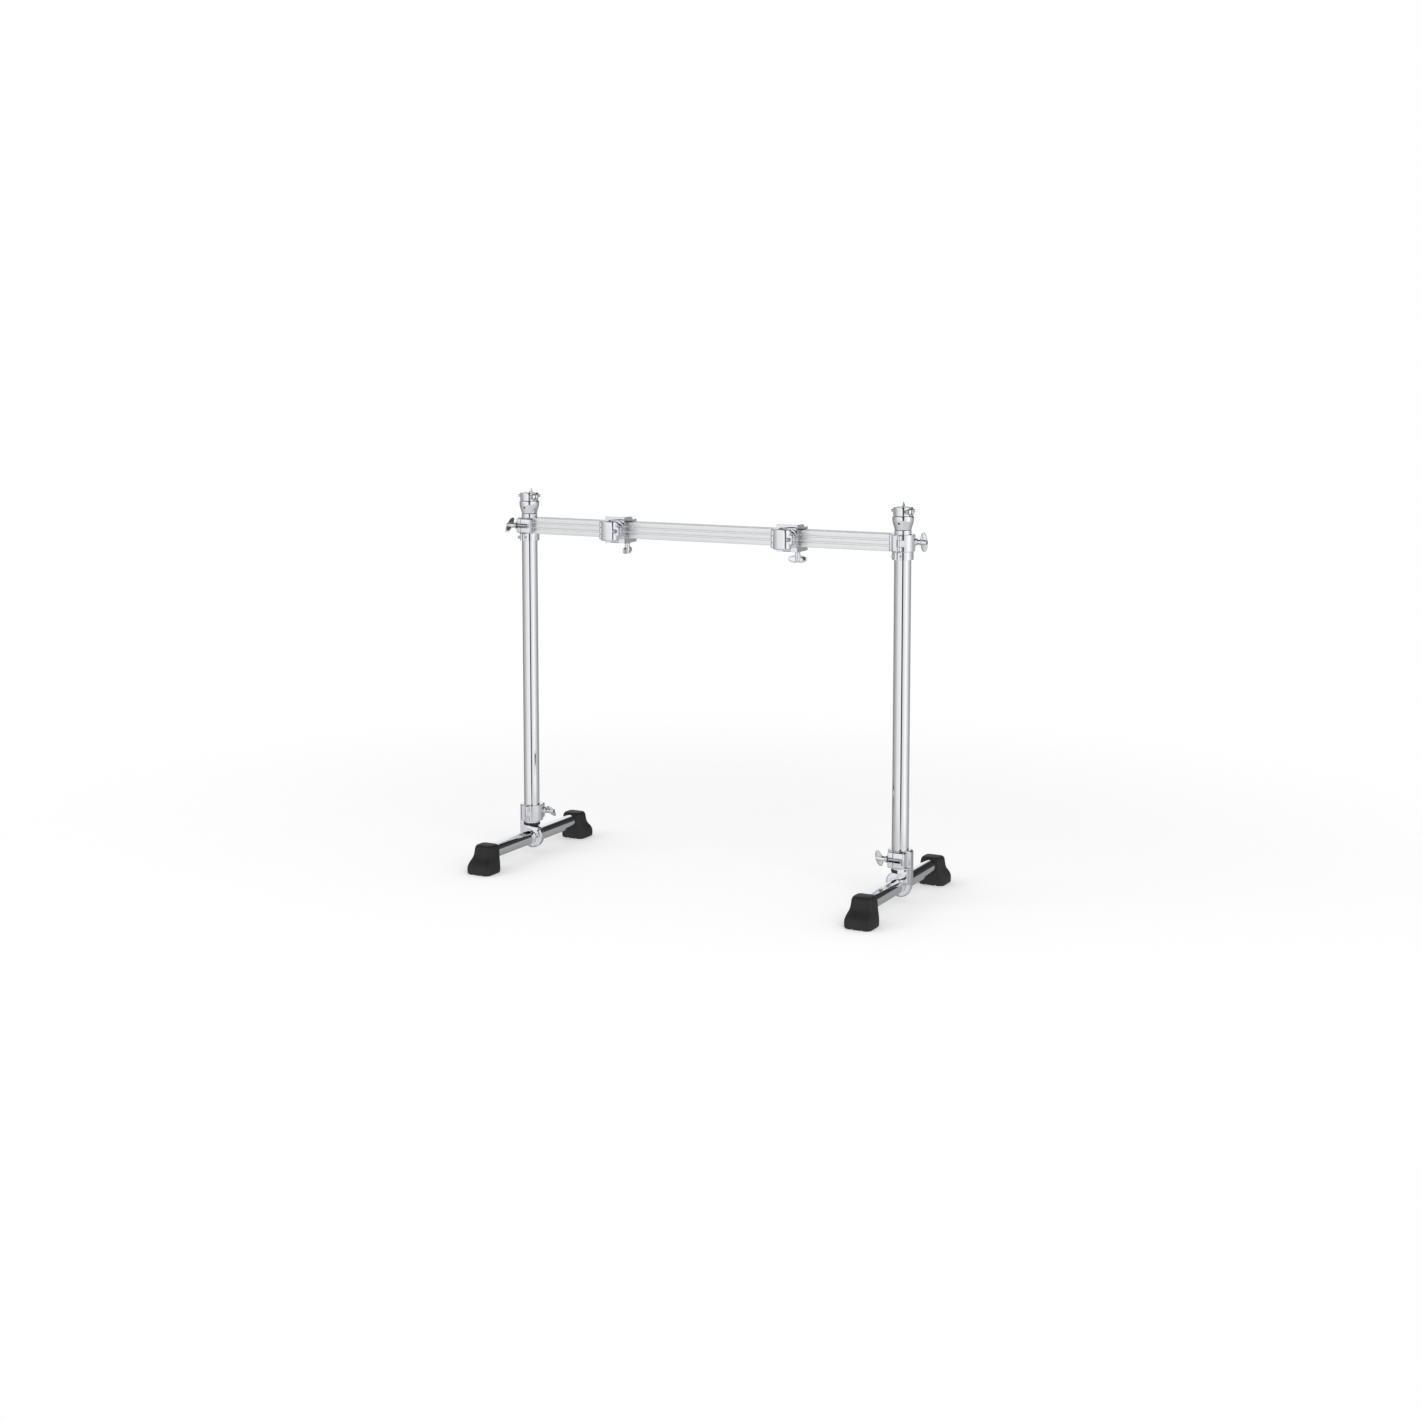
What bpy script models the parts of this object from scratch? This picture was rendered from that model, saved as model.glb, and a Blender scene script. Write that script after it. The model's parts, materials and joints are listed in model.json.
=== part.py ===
"""Two-post drum rack: a square bar clamped between two posts, tubular feet, two tube clamps on the bar.

Metres, +Z up, +X along the bar, -Y towards the side with the tube holders. The origin is on the floor midway
between the posts. The two bar ends are one casting turned half a turn, and so are the two post feet.
"""

import math

import bmesh
import bpy
from mathutils import Matrix, Vector

# Layout
POST_SPACING = 0.976
POST_LENGTH = 0.7594
NECK_SHOWN = 0.0086
FOOT_TUBE_HEIGHT = 0.045
FOOT_REACH = 0.2095
LEFT_CLAMP_PLACE = -0.230
RIGHT_CLAMP_PLACE = 0.219

# Stock
POST_DIAMETER = 0.0381
POST_WALL = 0.0015
FOOT_TUBE_DIAMETER = 0.035
FOOT_TUBE_WALL = 0.0015
BAR_SIDE = 0.0381
BAR_WALL = 0.0025
BAR_CORNER = 0.002
BAR_GROOVE_WIDTH = 0.005
BAR_GROOVE_DEPTH = 0.0008
BAR_GROOVE_OFFSET = 0.0062
BOLT_DIAMETER = 0.008
HINGE_PIN_DIAMETER = 0.005
KEY_BOLT_DIAMETER = 0.005

# Fits
GAP = 0.0003
SLOT_CLEARANCE = 0.001
SWING_CLEARANCE = 0.0002

# Hinged collars round the posts
COLLAR_WALL = 0.0077
COLLAR_SPLIT_OFFSET = 0.0032
COLLAR_SPLIT = 0.0024
SLOT_FLOOR = 0.0027
LUG_COVER = 0.006
LUG_INSET = 0.0015
LUG_ROUNDING = 0.003
JAW_LUG_REACH = 0.0175
SPOT_FACE_MARGIN = 0.0015
BOLT_PIVOT_SETBACK = 0.015
BOLT_HEAD_RADIUS = 0.005
BOLT_HEAD_LENGTH = 0.024
BOLT_HEAD_WALL = 0.003
BOLT_OVERHANG = 0.0248
KNUCKLE_RADIUS = 0.0055
KNUCKLE_INSET = 0.002
KNUCKLE_STANDOFF = 0.001
TONGUE_LENGTH = 0.015
TEE_COLLAR_LENGTH = 0.040
BRACKET_REACH = 0.024
BRACKET_PLUG_LENGTH = 0.050

# Tee clamp below each post
TEE_COLLAR_LIFT = 0.0055
TEE_RING_RADIUS = 0.029
TEE_RING_LENGTH = 0.019
TEE_SPINE_THICKNESS = 0.0085
TEE_SPINE_WIDTH = 0.0196
TEE_WEB_THICKNESS = 0.006
TEE_WEB_ROUNDING = 0.014
TEE_WEB_REACH = 0.004
TEE_EAR_REACH = 0.032
TEE_EAR_WIDTH = 0.0182
TEE_EAR_HEIGHT = 0.050
TEE_SLIT = 0.002
POST_PLUG_FLANGE = 0.006
POST_PLUG_FLANGE_RADIUS = 0.0199
POST_PLUG_DEPTH = 0.020
POST_PLUG_WALL = 0.003

# Wing nuts
NUT_FLANGE_RADIUS = 0.008
NUT_FLANGE_LENGTH = 0.004
NUT_HUB_RADIUS = 0.0065
NUT_HUB_END_RADIUS = 0.0052
NUT_HUB_LENGTH = 0.0280
WING_SPAN = 0.044
WING_LENGTH = 0.018
WING_START = 0.0117
WING_THICKNESS = 0.004

# Memory locks
LOCK_LENGTH = 0.018
LOCK_WALL = 0.0047
LOCK_EAR_REACH = 0.0125
LOCK_EAR_WIDTH = 0.012
LOCK_EAR_INSET = 0.001
LOCK_SLIT = 0.002
LOCK_BOLT_STANDOFF = 0.0092

# Top holders
HOLDER_BORE_DIAMETER = 0.026
BOWL_HEIGHT = 0.031
BOWL_FOOT_RADIUS = 0.0193
BOWL_RADIUS = 0.0241
BOWL_LIP = 0.0030
BOWL_PLUG_DEPTH = 0.028
RING_HEIGHT = 0.0197
RING_WALL = 0.0092
RING_SLIT = 0.002
RING_EAR_REACH = 0.0068
RING_EAR_WIDTH = 0.015
RING_EAR_HEIGHT = 0.013
RING_BOLT_STANDOFF = 0.0036
RING_EAR_ANGLE = math.radians(-27.0)
STUD_RADIUS = 0.0017
STUD_HEIGHT = 0.009
STUD_ANGLE = math.radians(110.0)

# Bar clamps
CLAMP_WIDTH = 0.052
CLAMP_WEB = 0.0115
CLAMP_FLANGE = 0.0115
CLAMP_LINING = 0.00035
CLAMP_BACK_REACH = 0.014
CLAMP_BOLT_STANDOFF = 0.008
CLAMP_FORK_WIDTH = 0.044
CLAMP_LUG_STEP = 0.0042
CLAMP_LUG_HEIGHT = 0.0135
CLAMP_STEP_START = 0.002
CLAMP_STEP_END = 0.0085
CLAMP_HEAD_LENGTH = 0.022
CLAMP_KNUCKLE_RADIUS = 0.0055
CLAMP_TONGUE_WIDTH = 0.020
CLAMP_EAR_WIDTH = 0.048
SPIGOT_RADIUS = 0.008
SPIGOT_LENGTH = 0.0095

# Tube holders on the bar clamps
TUBE_BORE_DIAMETER = 0.026
TUBE_BORE_STANDOFF = 0.0195
TUBE_HOLDER_WIDTH = 0.043
TUBE_HOLDER_HEIGHT = 0.046
TUBE_HOLDER_CORNER = 0.013
TUBE_HOLDER_SPLIT = 0.001
TUBE_CAP_DEPTH = 0.018
TUBE_CAP_CHAMFER = 0.007
TUBE_KNUCKLE_RADIUS = 0.005
TUBE_KNUCKLE_OFFSET = 0.024
TUBE_KNUCKLE_LENGTH = 0.015
TUBE_KNUCKLE_SPAN = 0.042
TUBE_BOLT_OFFSET = 0.0195
TUBE_LUG_REACH = 0.0275
TUBE_LUG_HEIGHT = 0.022
TUBE_BOLT_EMBED = 0.012

# Key bolts
KEY_HEAD_SIDE = 0.0064
KEY_HEAD_HEIGHT = 0.006
KEY_FLANGE_RADIUS = 0.0046
KEY_FLANGE_HEIGHT = 0.0016

# Rubber feet: the base, and the hood over the tube's end, with their reaches measured from the tube's end
RUBBER_HEIGHT = 0.0665
RUBBER_BASE_HALF_WIDTH = 0.0325
RUBBER_BASE_REACH = 0.031
RUBBER_BASE_INNER_REACH = 0.0295
RUBBER_HOOD_HALF_WIDTH = 0.0255
RUBBER_HOOD_REACH = 0.010
RUBBER_HOOD_INNER_REACH = 0.036
RUBBER_CORNER = 0.013
RUBBER_TUBE_OVERRUN = 0.001
TREAD_GROOVE_WIDTH = 0.006
TREAD_GROOVE_DEPTH = 0.0025
TREAD_SIDE_OFFSET = 0.0115
TREAD_END_OFFSET = 0.0105

# Facets
POST_SIDES = 32
FOOT_TUBE_SIDES = 28
COLLAR_SIDES = 20
BORE_SIDES = 24
BOLT_SIDES = 10
PIN_SIDES = 8
KNUCKLE_SIDES = 10
NUT_SIDES = 10
WING_SIDES = 14
CORNER_STEPS = 3

# What follows from the sizes above
POST_RADIUS = POST_DIAMETER / 2
POST_BORE = POST_RADIUS - POST_WALL
FOOT_TUBE_RADIUS = FOOT_TUBE_DIAMETER / 2
PLUG_BOTTOM = FOOT_TUBE_HEIGHT + TEE_RING_RADIUS + GAP
POST_BOTTOM = PLUG_BOTTOM + POST_PLUG_FLANGE + GAP
POST_TOP = POST_BOTTOM + POST_LENGTH
BAR_HEIGHT = POST_TOP - NECK_SHOWN - BAR_SIDE / 2
TEE_COLLAR_HEIGHT = POST_BOTTOM + TEE_COLLAR_LIFT + TEE_COLLAR_LENGTH / 2
COLLAR_BORE = POST_RADIUS + GAP
COLLAR_RADIUS = COLLAR_BORE + COLLAR_WALL
SLOT_HALF = BOLT_DIAMETER / 2 + SLOT_CLEARANCE
BOLT_LINE = COLLAR_BORE + SLOT_FLOOR + SLOT_HALF
KNUCKLE_LINE = COLLAR_BORE + KNUCKLE_STANDOFF + KNUCKLE_RADIUS
LOCK_RADIUS = COLLAR_BORE + LOCK_WALL
NUT_ARM = BOLT_PIVOT_SETBACK + JAW_LUG_REACH
NUT_GAP = math.hypot(NUT_ARM, LUG_COVER) - NUT_ARM + SWING_CLEARANCE
NUT_PLACE = JAW_LUG_REACH + NUT_GAP
BOWL_BOTTOM = POST_TOP + GAP
BOWL_TOP = BOWL_BOTTOM + BOWL_HEIGHT
RING_BOTTOM = BOWL_TOP + GAP
HOLDER_BORE = HOLDER_BORE_DIAMETER / 2
RING_RADIUS = HOLDER_BORE + RING_WALL
BAR_HALF = BAR_SIDE / 2
CLAMP_INSIDE = BAR_HALF + CLAMP_LINING
CLAMP_FRONT = CLAMP_INSIDE + CLAMP_WEB
CLAMP_OUTSIDE = CLAMP_INSIDE + CLAMP_FLANGE
CLAMP_BOLT_LINE = BAR_HALF + CLAMP_BOLT_STANDOFF
CLAMP_BACK = BAR_HALF + CLAMP_BACK_REACH
CLAMP_KNUCKLE_Y = -(CLAMP_FRONT - CLAMP_KNUCKLE_RADIUS)
CLAMP_KNUCKLE_Z = -(CLAMP_OUTSIDE - CLAMP_KNUCKLE_RADIUS)
CLAMP_HEAD_Z = CLAMP_INSIDE + CLAMP_LUG_STEP - BOLT_HEAD_RADIUS
CLAMP_NUT_ARM = CLAMP_HEAD_Z + CLAMP_OUTSIDE
CLAMP_LUG_COVER = CLAMP_BACK - CLAMP_BOLT_LINE
CLAMP_NUT_GAP = math.hypot(CLAMP_NUT_ARM, CLAMP_LUG_COVER) - CLAMP_NUT_ARM + SWING_CLEARANCE
HOLDER_BACK = -(CLAMP_FRONT + GAP)
TUBE_LINE = HOLDER_BACK - TUBE_BORE_STANDOFF
CAP_FRONT = TUBE_LINE - TUBE_CAP_DEPTH
TUBE_BORE = TUBE_BORE_DIAMETER / 2
PIN_RADIUS = HINGE_PIN_DIAMETER / 2
KEY_RADIUS = KEY_BOLT_DIAMETER / 2
BOLT_RADIUS = BOLT_DIAMETER / 2
FAR = 0.2

RACK = bpy.data.collections.new("drum_rack")
WORKSHOP = bpy.data.collections.new("workshop")


def clear_scene():
    for thing in list(bpy.data.objects):
        bpy.data.objects.remove(thing, do_unlink=True)
    bpy.context.scene.collection.children.link(RACK)
    bpy.context.scene.collection.children.link(WORKSHOP)


def made(mesh):
    """A rough shape, kept in the workshop until it is a finished piece."""
    shape = bpy.data.objects.new("shape", mesh)
    WORKSHOP.objects.link(shape)
    return shape


def from_bmesh(work):
    bmesh.ops.recalc_face_normals(work, faces=work.faces)
    mesh = bpy.data.meshes.new("shape")
    work.to_mesh(mesh)
    work.free()
    return made(mesh)


def baked(shape):
    """The same shape with its modifiers applied."""
    graph = bpy.context.evaluated_depsgraph_get()
    mesh = bpy.data.meshes.new_from_object(shape.evaluated_get(graph))
    shape.modifiers.clear()
    shape.data = mesh
    return shape


def moved(shape, matrix):
    shape.data.transform(matrix)
    return shape


def box(low, high):
    work = bmesh.new()
    bmesh.ops.create_cube(work, size=1.0)
    bmesh.ops.scale(work, vec=Vector(high) - Vector(low), verts=work.verts)
    bmesh.ops.translate(work, vec=(Vector(high) + Vector(low)) / 2, verts=work.verts)
    return from_bmesh(work)


def soft_box(low, high, radius):
    """A box with every edge rounded in two steps."""
    shape = box(low, high)
    work = bmesh.new()
    work.from_mesh(shape.data)
    bpy.data.objects.remove(shape)
    bmesh.ops.bevel(work, geom=work.edges[:], offset=radius, segments=2, profile=0.5, affect="EDGES")
    return from_bmesh(work)


def rod(radius, start, end, sides, end_radius=None):
    """A cylinder, or a cone where the end has its own radius."""
    start = Vector(start)
    end = Vector(end)
    work = bmesh.new()
    tip = radius if end_radius is None else end_radius
    bmesh.ops.create_cone(
        work, cap_ends=True, segments=sides, radius1=radius, radius2=tip, depth=(end - start).length
    )
    turn = Vector((0, 0, 1)).rotation_difference(end - start).to_matrix().to_4x4()
    bmesh.ops.transform(work, matrix=Matrix.Translation((start + end) / 2) @ turn, verts=work.verts)
    return from_bmesh(work)


def plate(outline, thickness, hole=None):
    """A flat outline in XY with an optional hole, extruded about Z = 0."""
    curve = bpy.data.curves.new("outline", "CURVE")
    curve.dimensions = "2D"
    curve.fill_mode = "BOTH"
    curve.extrude = thickness / 2
    for loop in (outline, hole):
        if loop is None:
            continue
        spline = curve.splines.new("POLY")
        spline.points.add(len(loop) - 1)
        for point, (x, y) in zip(spline.points, loop):
            point.co = (x, y, 0.0, 1.0)
        spline.use_cyclic_u = True
    guide = bpy.data.objects.new("outline", curve)
    WORKSHOP.objects.link(guide)
    graph = bpy.context.evaluated_depsgraph_get()
    mesh = bpy.data.meshes.new_from_object(guide.evaluated_get(graph))
    bpy.data.objects.remove(guide)
    work = bmesh.new()
    work.from_mesh(mesh)
    bmesh.ops.remove_doubles(work, verts=work.verts, dist=1e-6)
    return from_bmesh(work)


def turned(profile, sides):
    """A closed profile of (radius, height) points, spun about Z."""
    count = len(profile)
    mesh = bpy.data.meshes.new("profile")
    points = [(radius, 0.0, height) for radius, height in profile]
    mesh.from_pydata(points, [(i, (i + 1) % count) for i in range(count)], [])
    shape = made(mesh)
    spin = shape.modifiers.new("Spin", "SCREW")
    spin.steps = sides
    spin.render_steps = sides
    spin.use_merge_vertices = True
    spin.merge_threshold = 1e-5
    baked(shape)
    work = bmesh.new()
    work.from_mesh(shape.data)
    bpy.data.objects.remove(shape)
    return from_bmesh(work)


def tube(radius, bore, bottom, top, sides):
    return turned([(radius, top), (radius, bottom), (bore, bottom), (bore, top)], sides)


def loft(rings):
    """A solid through a stack of outlines with the same number of points."""
    work = bmesh.new()
    loops = [[work.verts.new(point) for point in ring] for ring in rings]
    for lower, upper in zip(loops, loops[1:]):
        for i in range(len(lower)):
            j = (i + 1) % len(lower)
            work.faces.new((lower[i], lower[j], upper[j], upper[i]))
    work.faces.new(list(reversed(loops[0])))
    work.faces.new(loops[-1])
    return from_bmesh(work)


def combine(shape, tool, operation):
    step = shape.modifiers.new(operation, "BOOLEAN")
    step.operation = operation
    step.solver = "EXACT"
    step.object = tool
    baked(shape)
    bpy.data.objects.remove(tool)


def join(shape, *tools):
    for tool in tools:
        combine(shape, tool, "UNION")
    return shape


def cut(shape, *tools):
    for tool in tools:
        combine(shape, tool, "DIFFERENCE")
    return shape


def face_right(shape):
    """Turns a plate drawn as (y, z) in XY so that it is extruded along X."""
    return moved(shape, Matrix(((0, 0, 1, 0), (1, 0, 0, 0), (0, 1, 0, 0), (0, 0, 0, 1))))


def rounded(left, right, low, high, corner, steps=CORNER_STEPS):
    """Points of a rectangle with round corners, anticlockwise."""
    points = []
    centres = (
        (right - corner, high - corner, 0),
        (left + corner, high - corner, 1),
        (left + corner, low + corner, 2),
        (right - corner, low + corner, 3),
    )
    for x, y, quarter in centres:
        for i in range(steps + 1):
            angle = math.pi / 2 * (quarter + i / steps)
            points.append((x + corner * math.cos(angle), y + corner * math.sin(angle)))
    return points


def lerp(low, high, share):
    return low + (high - low) * share


def paint(name, colour, roughness, metallic):
    material = bpy.data.materials.new(name)
    material.use_nodes = True
    shader = material.node_tree.nodes["Principled BSDF"]
    shader.inputs["Base Color"].default_value = (*colour, 1.0)
    shader.inputs["Roughness"].default_value = roughness
    shader.inputs["Metallic"].default_value = metallic
    return material


def finished(shape, material, sharp=math.radians(32)):
    """The mesh of a finished piece, ready to be placed once or twice."""
    mesh = shape.data
    bpy.data.objects.remove(shape)
    mesh.materials.clear()
    mesh.materials.append(material)
    mesh.shade_smooth()
    mesh.set_sharp_from_angle(angle=sharp)
    return mesh


def place(name, mesh, location=(0.0, 0.0, 0.0), turn=(0.0, 0.0, 0.0), parent=None):
    mesh.name = name
    piece = bpy.data.objects.new(name, mesh)
    piece.location = location
    piece.rotation_euler = turn
    piece.parent = parent
    RACK.objects.link(piece)
    return piece


def anchor(name, location, turn=0.0, parent=None):
    """An empty that carries a group of pieces."""
    empty = bpy.data.objects.new(name, None)
    empty.location = location
    empty.rotation_euler = (0.0, 0.0, turn)
    empty.parent = parent
    empty.empty_display_size = 0.02
    RACK.objects.link(empty)
    return empty


# Hinged collar. It is drawn with its fixed half at -X, its jaw at +X, its bolt at +Y and its hinge at -Y.


def collar_barrel(length):
    return rod(COLLAR_RADIUS, (0, 0, -length / 2), (0, 0, length / 2), COLLAR_SIDES)


def collar_bore(length):
    return rod(COLLAR_BORE, (0, 0, -length), (0, 0, length), BORE_SIDES)


def hinge_hole(length):
    start = (COLLAR_SPLIT_OFFSET, -KNUCKLE_LINE, -length)
    return rod(PIN_RADIUS + GAP, start, (start[0], start[1], length), PIN_SIDES)


def knuckle(low, high, extra=0.0):
    start = (COLLAR_SPLIT_OFFSET, -KNUCKLE_LINE, low)
    return rod(KNUCKLE_RADIUS + extra, start, (start[0], start[1], high), KNUCKLE_SIDES)


def collar_fixed_half(length, extras=(), flat_back=None):
    """The half that is one with the casting, with the ears of the hinge and the pocket of the bolt head."""
    half = length / 2
    split = COLLAR_SPLIT_OFFSET - COLLAR_SPLIT / 2
    head_back = -BOLT_PIVOT_SETBACK - BOLT_HEAD_RADIUS - BOLT_HEAD_WALL
    lug_face = BOLT_LINE + BOLT_HEAD_RADIUS + GAP + BOLT_HEAD_WALL
    shape = collar_barrel(length)
    lug_low = (head_back, 0.008, -half + LUG_INSET)
    join(shape, soft_box(lug_low, (split + 0.008, lug_face, half - LUG_INSET), LUG_ROUNDING))
    if flat_back:
        cut(shape, box((-FAR, -FAR, -FAR), (-flat_back, FAR, FAR)))
    join(shape, *extras)
    cut(shape, box((split, -FAR, -half - 0.01), (FAR, FAR, half + 0.01)))
    ear_top = half - KNUCKLE_INSET
    ear_back = (-0.012, -KNUCKLE_LINE - 0.001, -ear_top)
    join(shape, knuckle(-ear_top, ear_top))
    join(shape, box(ear_back, (COLLAR_SPLIT_OFFSET, -KNUCKLE_LINE + KNUCKLE_RADIUS, ear_top)))
    room = TONGUE_LENGTH / 2 + GAP
    cut(shape, knuckle(-room, room, 2 * GAP))
    cut(shape, box((-0.0035, -FAR, -room), (FAR, -COLLAR_BORE + 0.002, room)))
    cut(shape, collar_bore(length))
    slot_floor = BOLT_LINE - SLOT_HALF
    cut(shape, box((-BOLT_PIVOT_SETBACK + 0.0007, slot_floor, -SLOT_HALF), (FAR, FAR, SLOT_HALF)))
    swing_room = (-BOLT_PIVOT_SETBACK - SLOT_HALF, BOLT_LINE + BOLT_RADIUS / 2, -SLOT_HALF)
    cut(shape, box(swing_room, (0, FAR, SLOT_HALF)))
    pocket = (-BOLT_PIVOT_SETBACK, BOLT_LINE, -BOLT_HEAD_LENGTH / 2 - GAP)
    cut(shape, rod(BOLT_HEAD_RADIUS + GAP, pocket, (pocket[0], pocket[1], length), KNUCKLE_SIDES))
    cut(shape, hinge_hole(length))
    return shape


def collar_jaw(length):
    """The half that swings open, with its tongue between the ears."""
    half = length / 2
    split = COLLAR_SPLIT_OFFSET + COLLAR_SPLIT / 2
    shape = collar_barrel(length)
    lug_face = BOLT_LINE + LUG_COVER
    lug_low = (split - 0.008, 0.008, -half + LUG_INSET)
    join(shape, soft_box(lug_low, (JAW_LUG_REACH, lug_face, half - LUG_INSET), LUG_ROUNDING))
    cut(shape, box((-FAR, -FAR, -half - 0.01), (split, FAR, half + 0.01)))
    spot_face = (JAW_LUG_REACH - 0.0001, BOLT_LINE - NUT_FLANGE_RADIUS - SPOT_FACE_MARGIN, -FAR)
    cut(shape, box(spot_face, (FAR, FAR, FAR)))
    cut(shape, knuckle(-length, -TONGUE_LENGTH / 2, 2 * GAP), knuckle(TONGUE_LENGTH / 2, length, 2 * GAP))
    join(shape, knuckle(-TONGUE_LENGTH / 2, TONGUE_LENGTH / 2))
    tongue_root = (COLLAR_SPLIT_OFFSET, -KNUCKLE_LINE - 0.001, -TONGUE_LENGTH / 2)
    join(shape, box(tongue_root, (0.014, -KNUCKLE_LINE + KNUCKLE_RADIUS, TONGUE_LENGTH / 2)))
    cut(shape, collar_bore(length))
    slot_floor = BOLT_LINE - SLOT_HALF
    cut(shape, box((-FAR, slot_floor, -SLOT_HALF), (FAR, FAR, SLOT_HALF)))
    cut(shape, hinge_hole(length))
    return shape


def hinge_pin(length):
    half = length / 2 - KNUCKLE_INSET + 0.001
    return rod(PIN_RADIUS, (0, 0, -half), (0, 0, half), PIN_SIDES)


def swing_bolt(reach, head_length):
    """Origin at the middle of its cross head, with the shank along +X."""
    shape = rod(BOLT_HEAD_RADIUS, (0, 0, -head_length / 2), (0, 0, head_length / 2), KNUCKLE_SIDES)
    join(shape, rod(BOLT_RADIUS, (0, 0, 0), (reach, 0, 0), BOLT_SIDES))
    return shape


def wing_nut():
    """Origin at its seat on the bolt's axis, with the wings along +X, away from the clamp."""
    shape = rod(NUT_FLANGE_RADIUS, (0, 0, 0), (NUT_FLANGE_LENGTH, 0, 0), NUT_SIDES + 2)
    hub_start = (NUT_FLANGE_LENGTH - 0.001, 0, 0)
    join(shape, rod(NUT_HUB_RADIUS, hub_start, (NUT_HUB_LENGTH, 0, 0), NUT_SIDES, NUT_HUB_END_RADIUS))
    middle = WING_START + WING_LENGTH / 2
    steps = [2 * math.pi * (i + 0.5) / WING_SIDES for i in range(WING_SIDES)]
    oval = [(middle - WING_LENGTH / 2 * math.cos(angle), WING_SPAN / 2 * math.sin(angle)) for angle in steps]
    join(shape, moved(plate(oval, WING_THICKNESS), Matrix.Rotation(math.pi / 2, 4, "X")))
    cut(shape, rod(BOLT_RADIUS + GAP, (-0.01, 0, 0), (FAR, 0, 0), NUT_SIDES))
    return shape


def key_bolt(reach):
    """A square-headed bolt along +X, with its seat at the origin and its head at -X."""
    shape = rod(KEY_RADIUS, (-KEY_FLANGE_HEIGHT, 0, 0), (reach, 0, 0), 8)
    join(shape, rod(KEY_FLANGE_RADIUS, (-KEY_FLANGE_HEIGHT, 0, 0), (0, 0, 0), 12))
    side = KEY_HEAD_SIDE / 2
    head = box((-KEY_FLANGE_HEIGHT - KEY_HEAD_HEIGHT, -side, -side), (-KEY_FLANGE_HEIGHT / 2, side, side))
    join(shape, head)
    return shape


# Feet


def foot_tube():
    bore = FOOT_TUBE_RADIUS - FOOT_TUBE_WALL
    shape = tube(FOOT_TUBE_RADIUS, bore, -FOOT_REACH, FOOT_REACH, FOOT_TUBE_SIDES)
    return moved(shape, Matrix.Rotation(math.pi / 2, 4, "X"))


def rubber_foot():
    """Drawn with its outer end at +Y and the floor at Z = 0, round a tube that comes in from -Y."""
    # Share of the height, share of the way from base to hood, and how much of the outline is left there
    sections = (
        (0.00, 0.0, 0.91),
        (0.10, 0.0, 1.00),
        (0.28, 0.0, 1.00),
        (0.45, 0.4, 1.00),
        (0.62, 0.9, 1.00),
        (0.90, 1.0, 0.95),
        (1.00, 1.0, 0.74),
    )
    rings = []
    for height, rise, share in sections:
        half_width = share * lerp(RUBBER_BASE_HALF_WIDTH, RUBBER_HOOD_HALF_WIDTH, rise)
        outer = lerp(RUBBER_BASE_REACH, RUBBER_HOOD_REACH, rise)
        inner = lerp(RUBBER_BASE_INNER_REACH, RUBBER_HOOD_INNER_REACH, rise)
        shrink = (1 - share) * RUBBER_BASE_REACH
        corner = min(RUBBER_CORNER, half_width * 0.45)
        outline = rounded(-half_width, half_width, shrink - inner, outer - shrink, corner)
        rings.append([(x, y, height * RUBBER_HEIGHT) for x, y in outline])
    shape = loft(rings)
    bore = FOOT_TUBE_RADIUS + GAP
    cut(shape, rod(bore, (0, -FAR, FOOT_TUBE_HEIGHT), (0, RUBBER_TUBE_OVERRUN, FOOT_TUBE_HEIGHT), BORE_SIDES))
    half = TREAD_GROOVE_WIDTH / 2
    for side in (1, -1):
        x = side * TREAD_SIDE_OFFSET
        y = side * TREAD_END_OFFSET
        cut(shape, box((x - half, -FAR, -FAR), (x + half, FAR, TREAD_GROOVE_DEPTH)))
        cut(shape, box((-FAR, y - half, -FAR), (FAR, y + half, TREAD_GROOVE_DEPTH + GAP)))
    return shape


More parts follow.
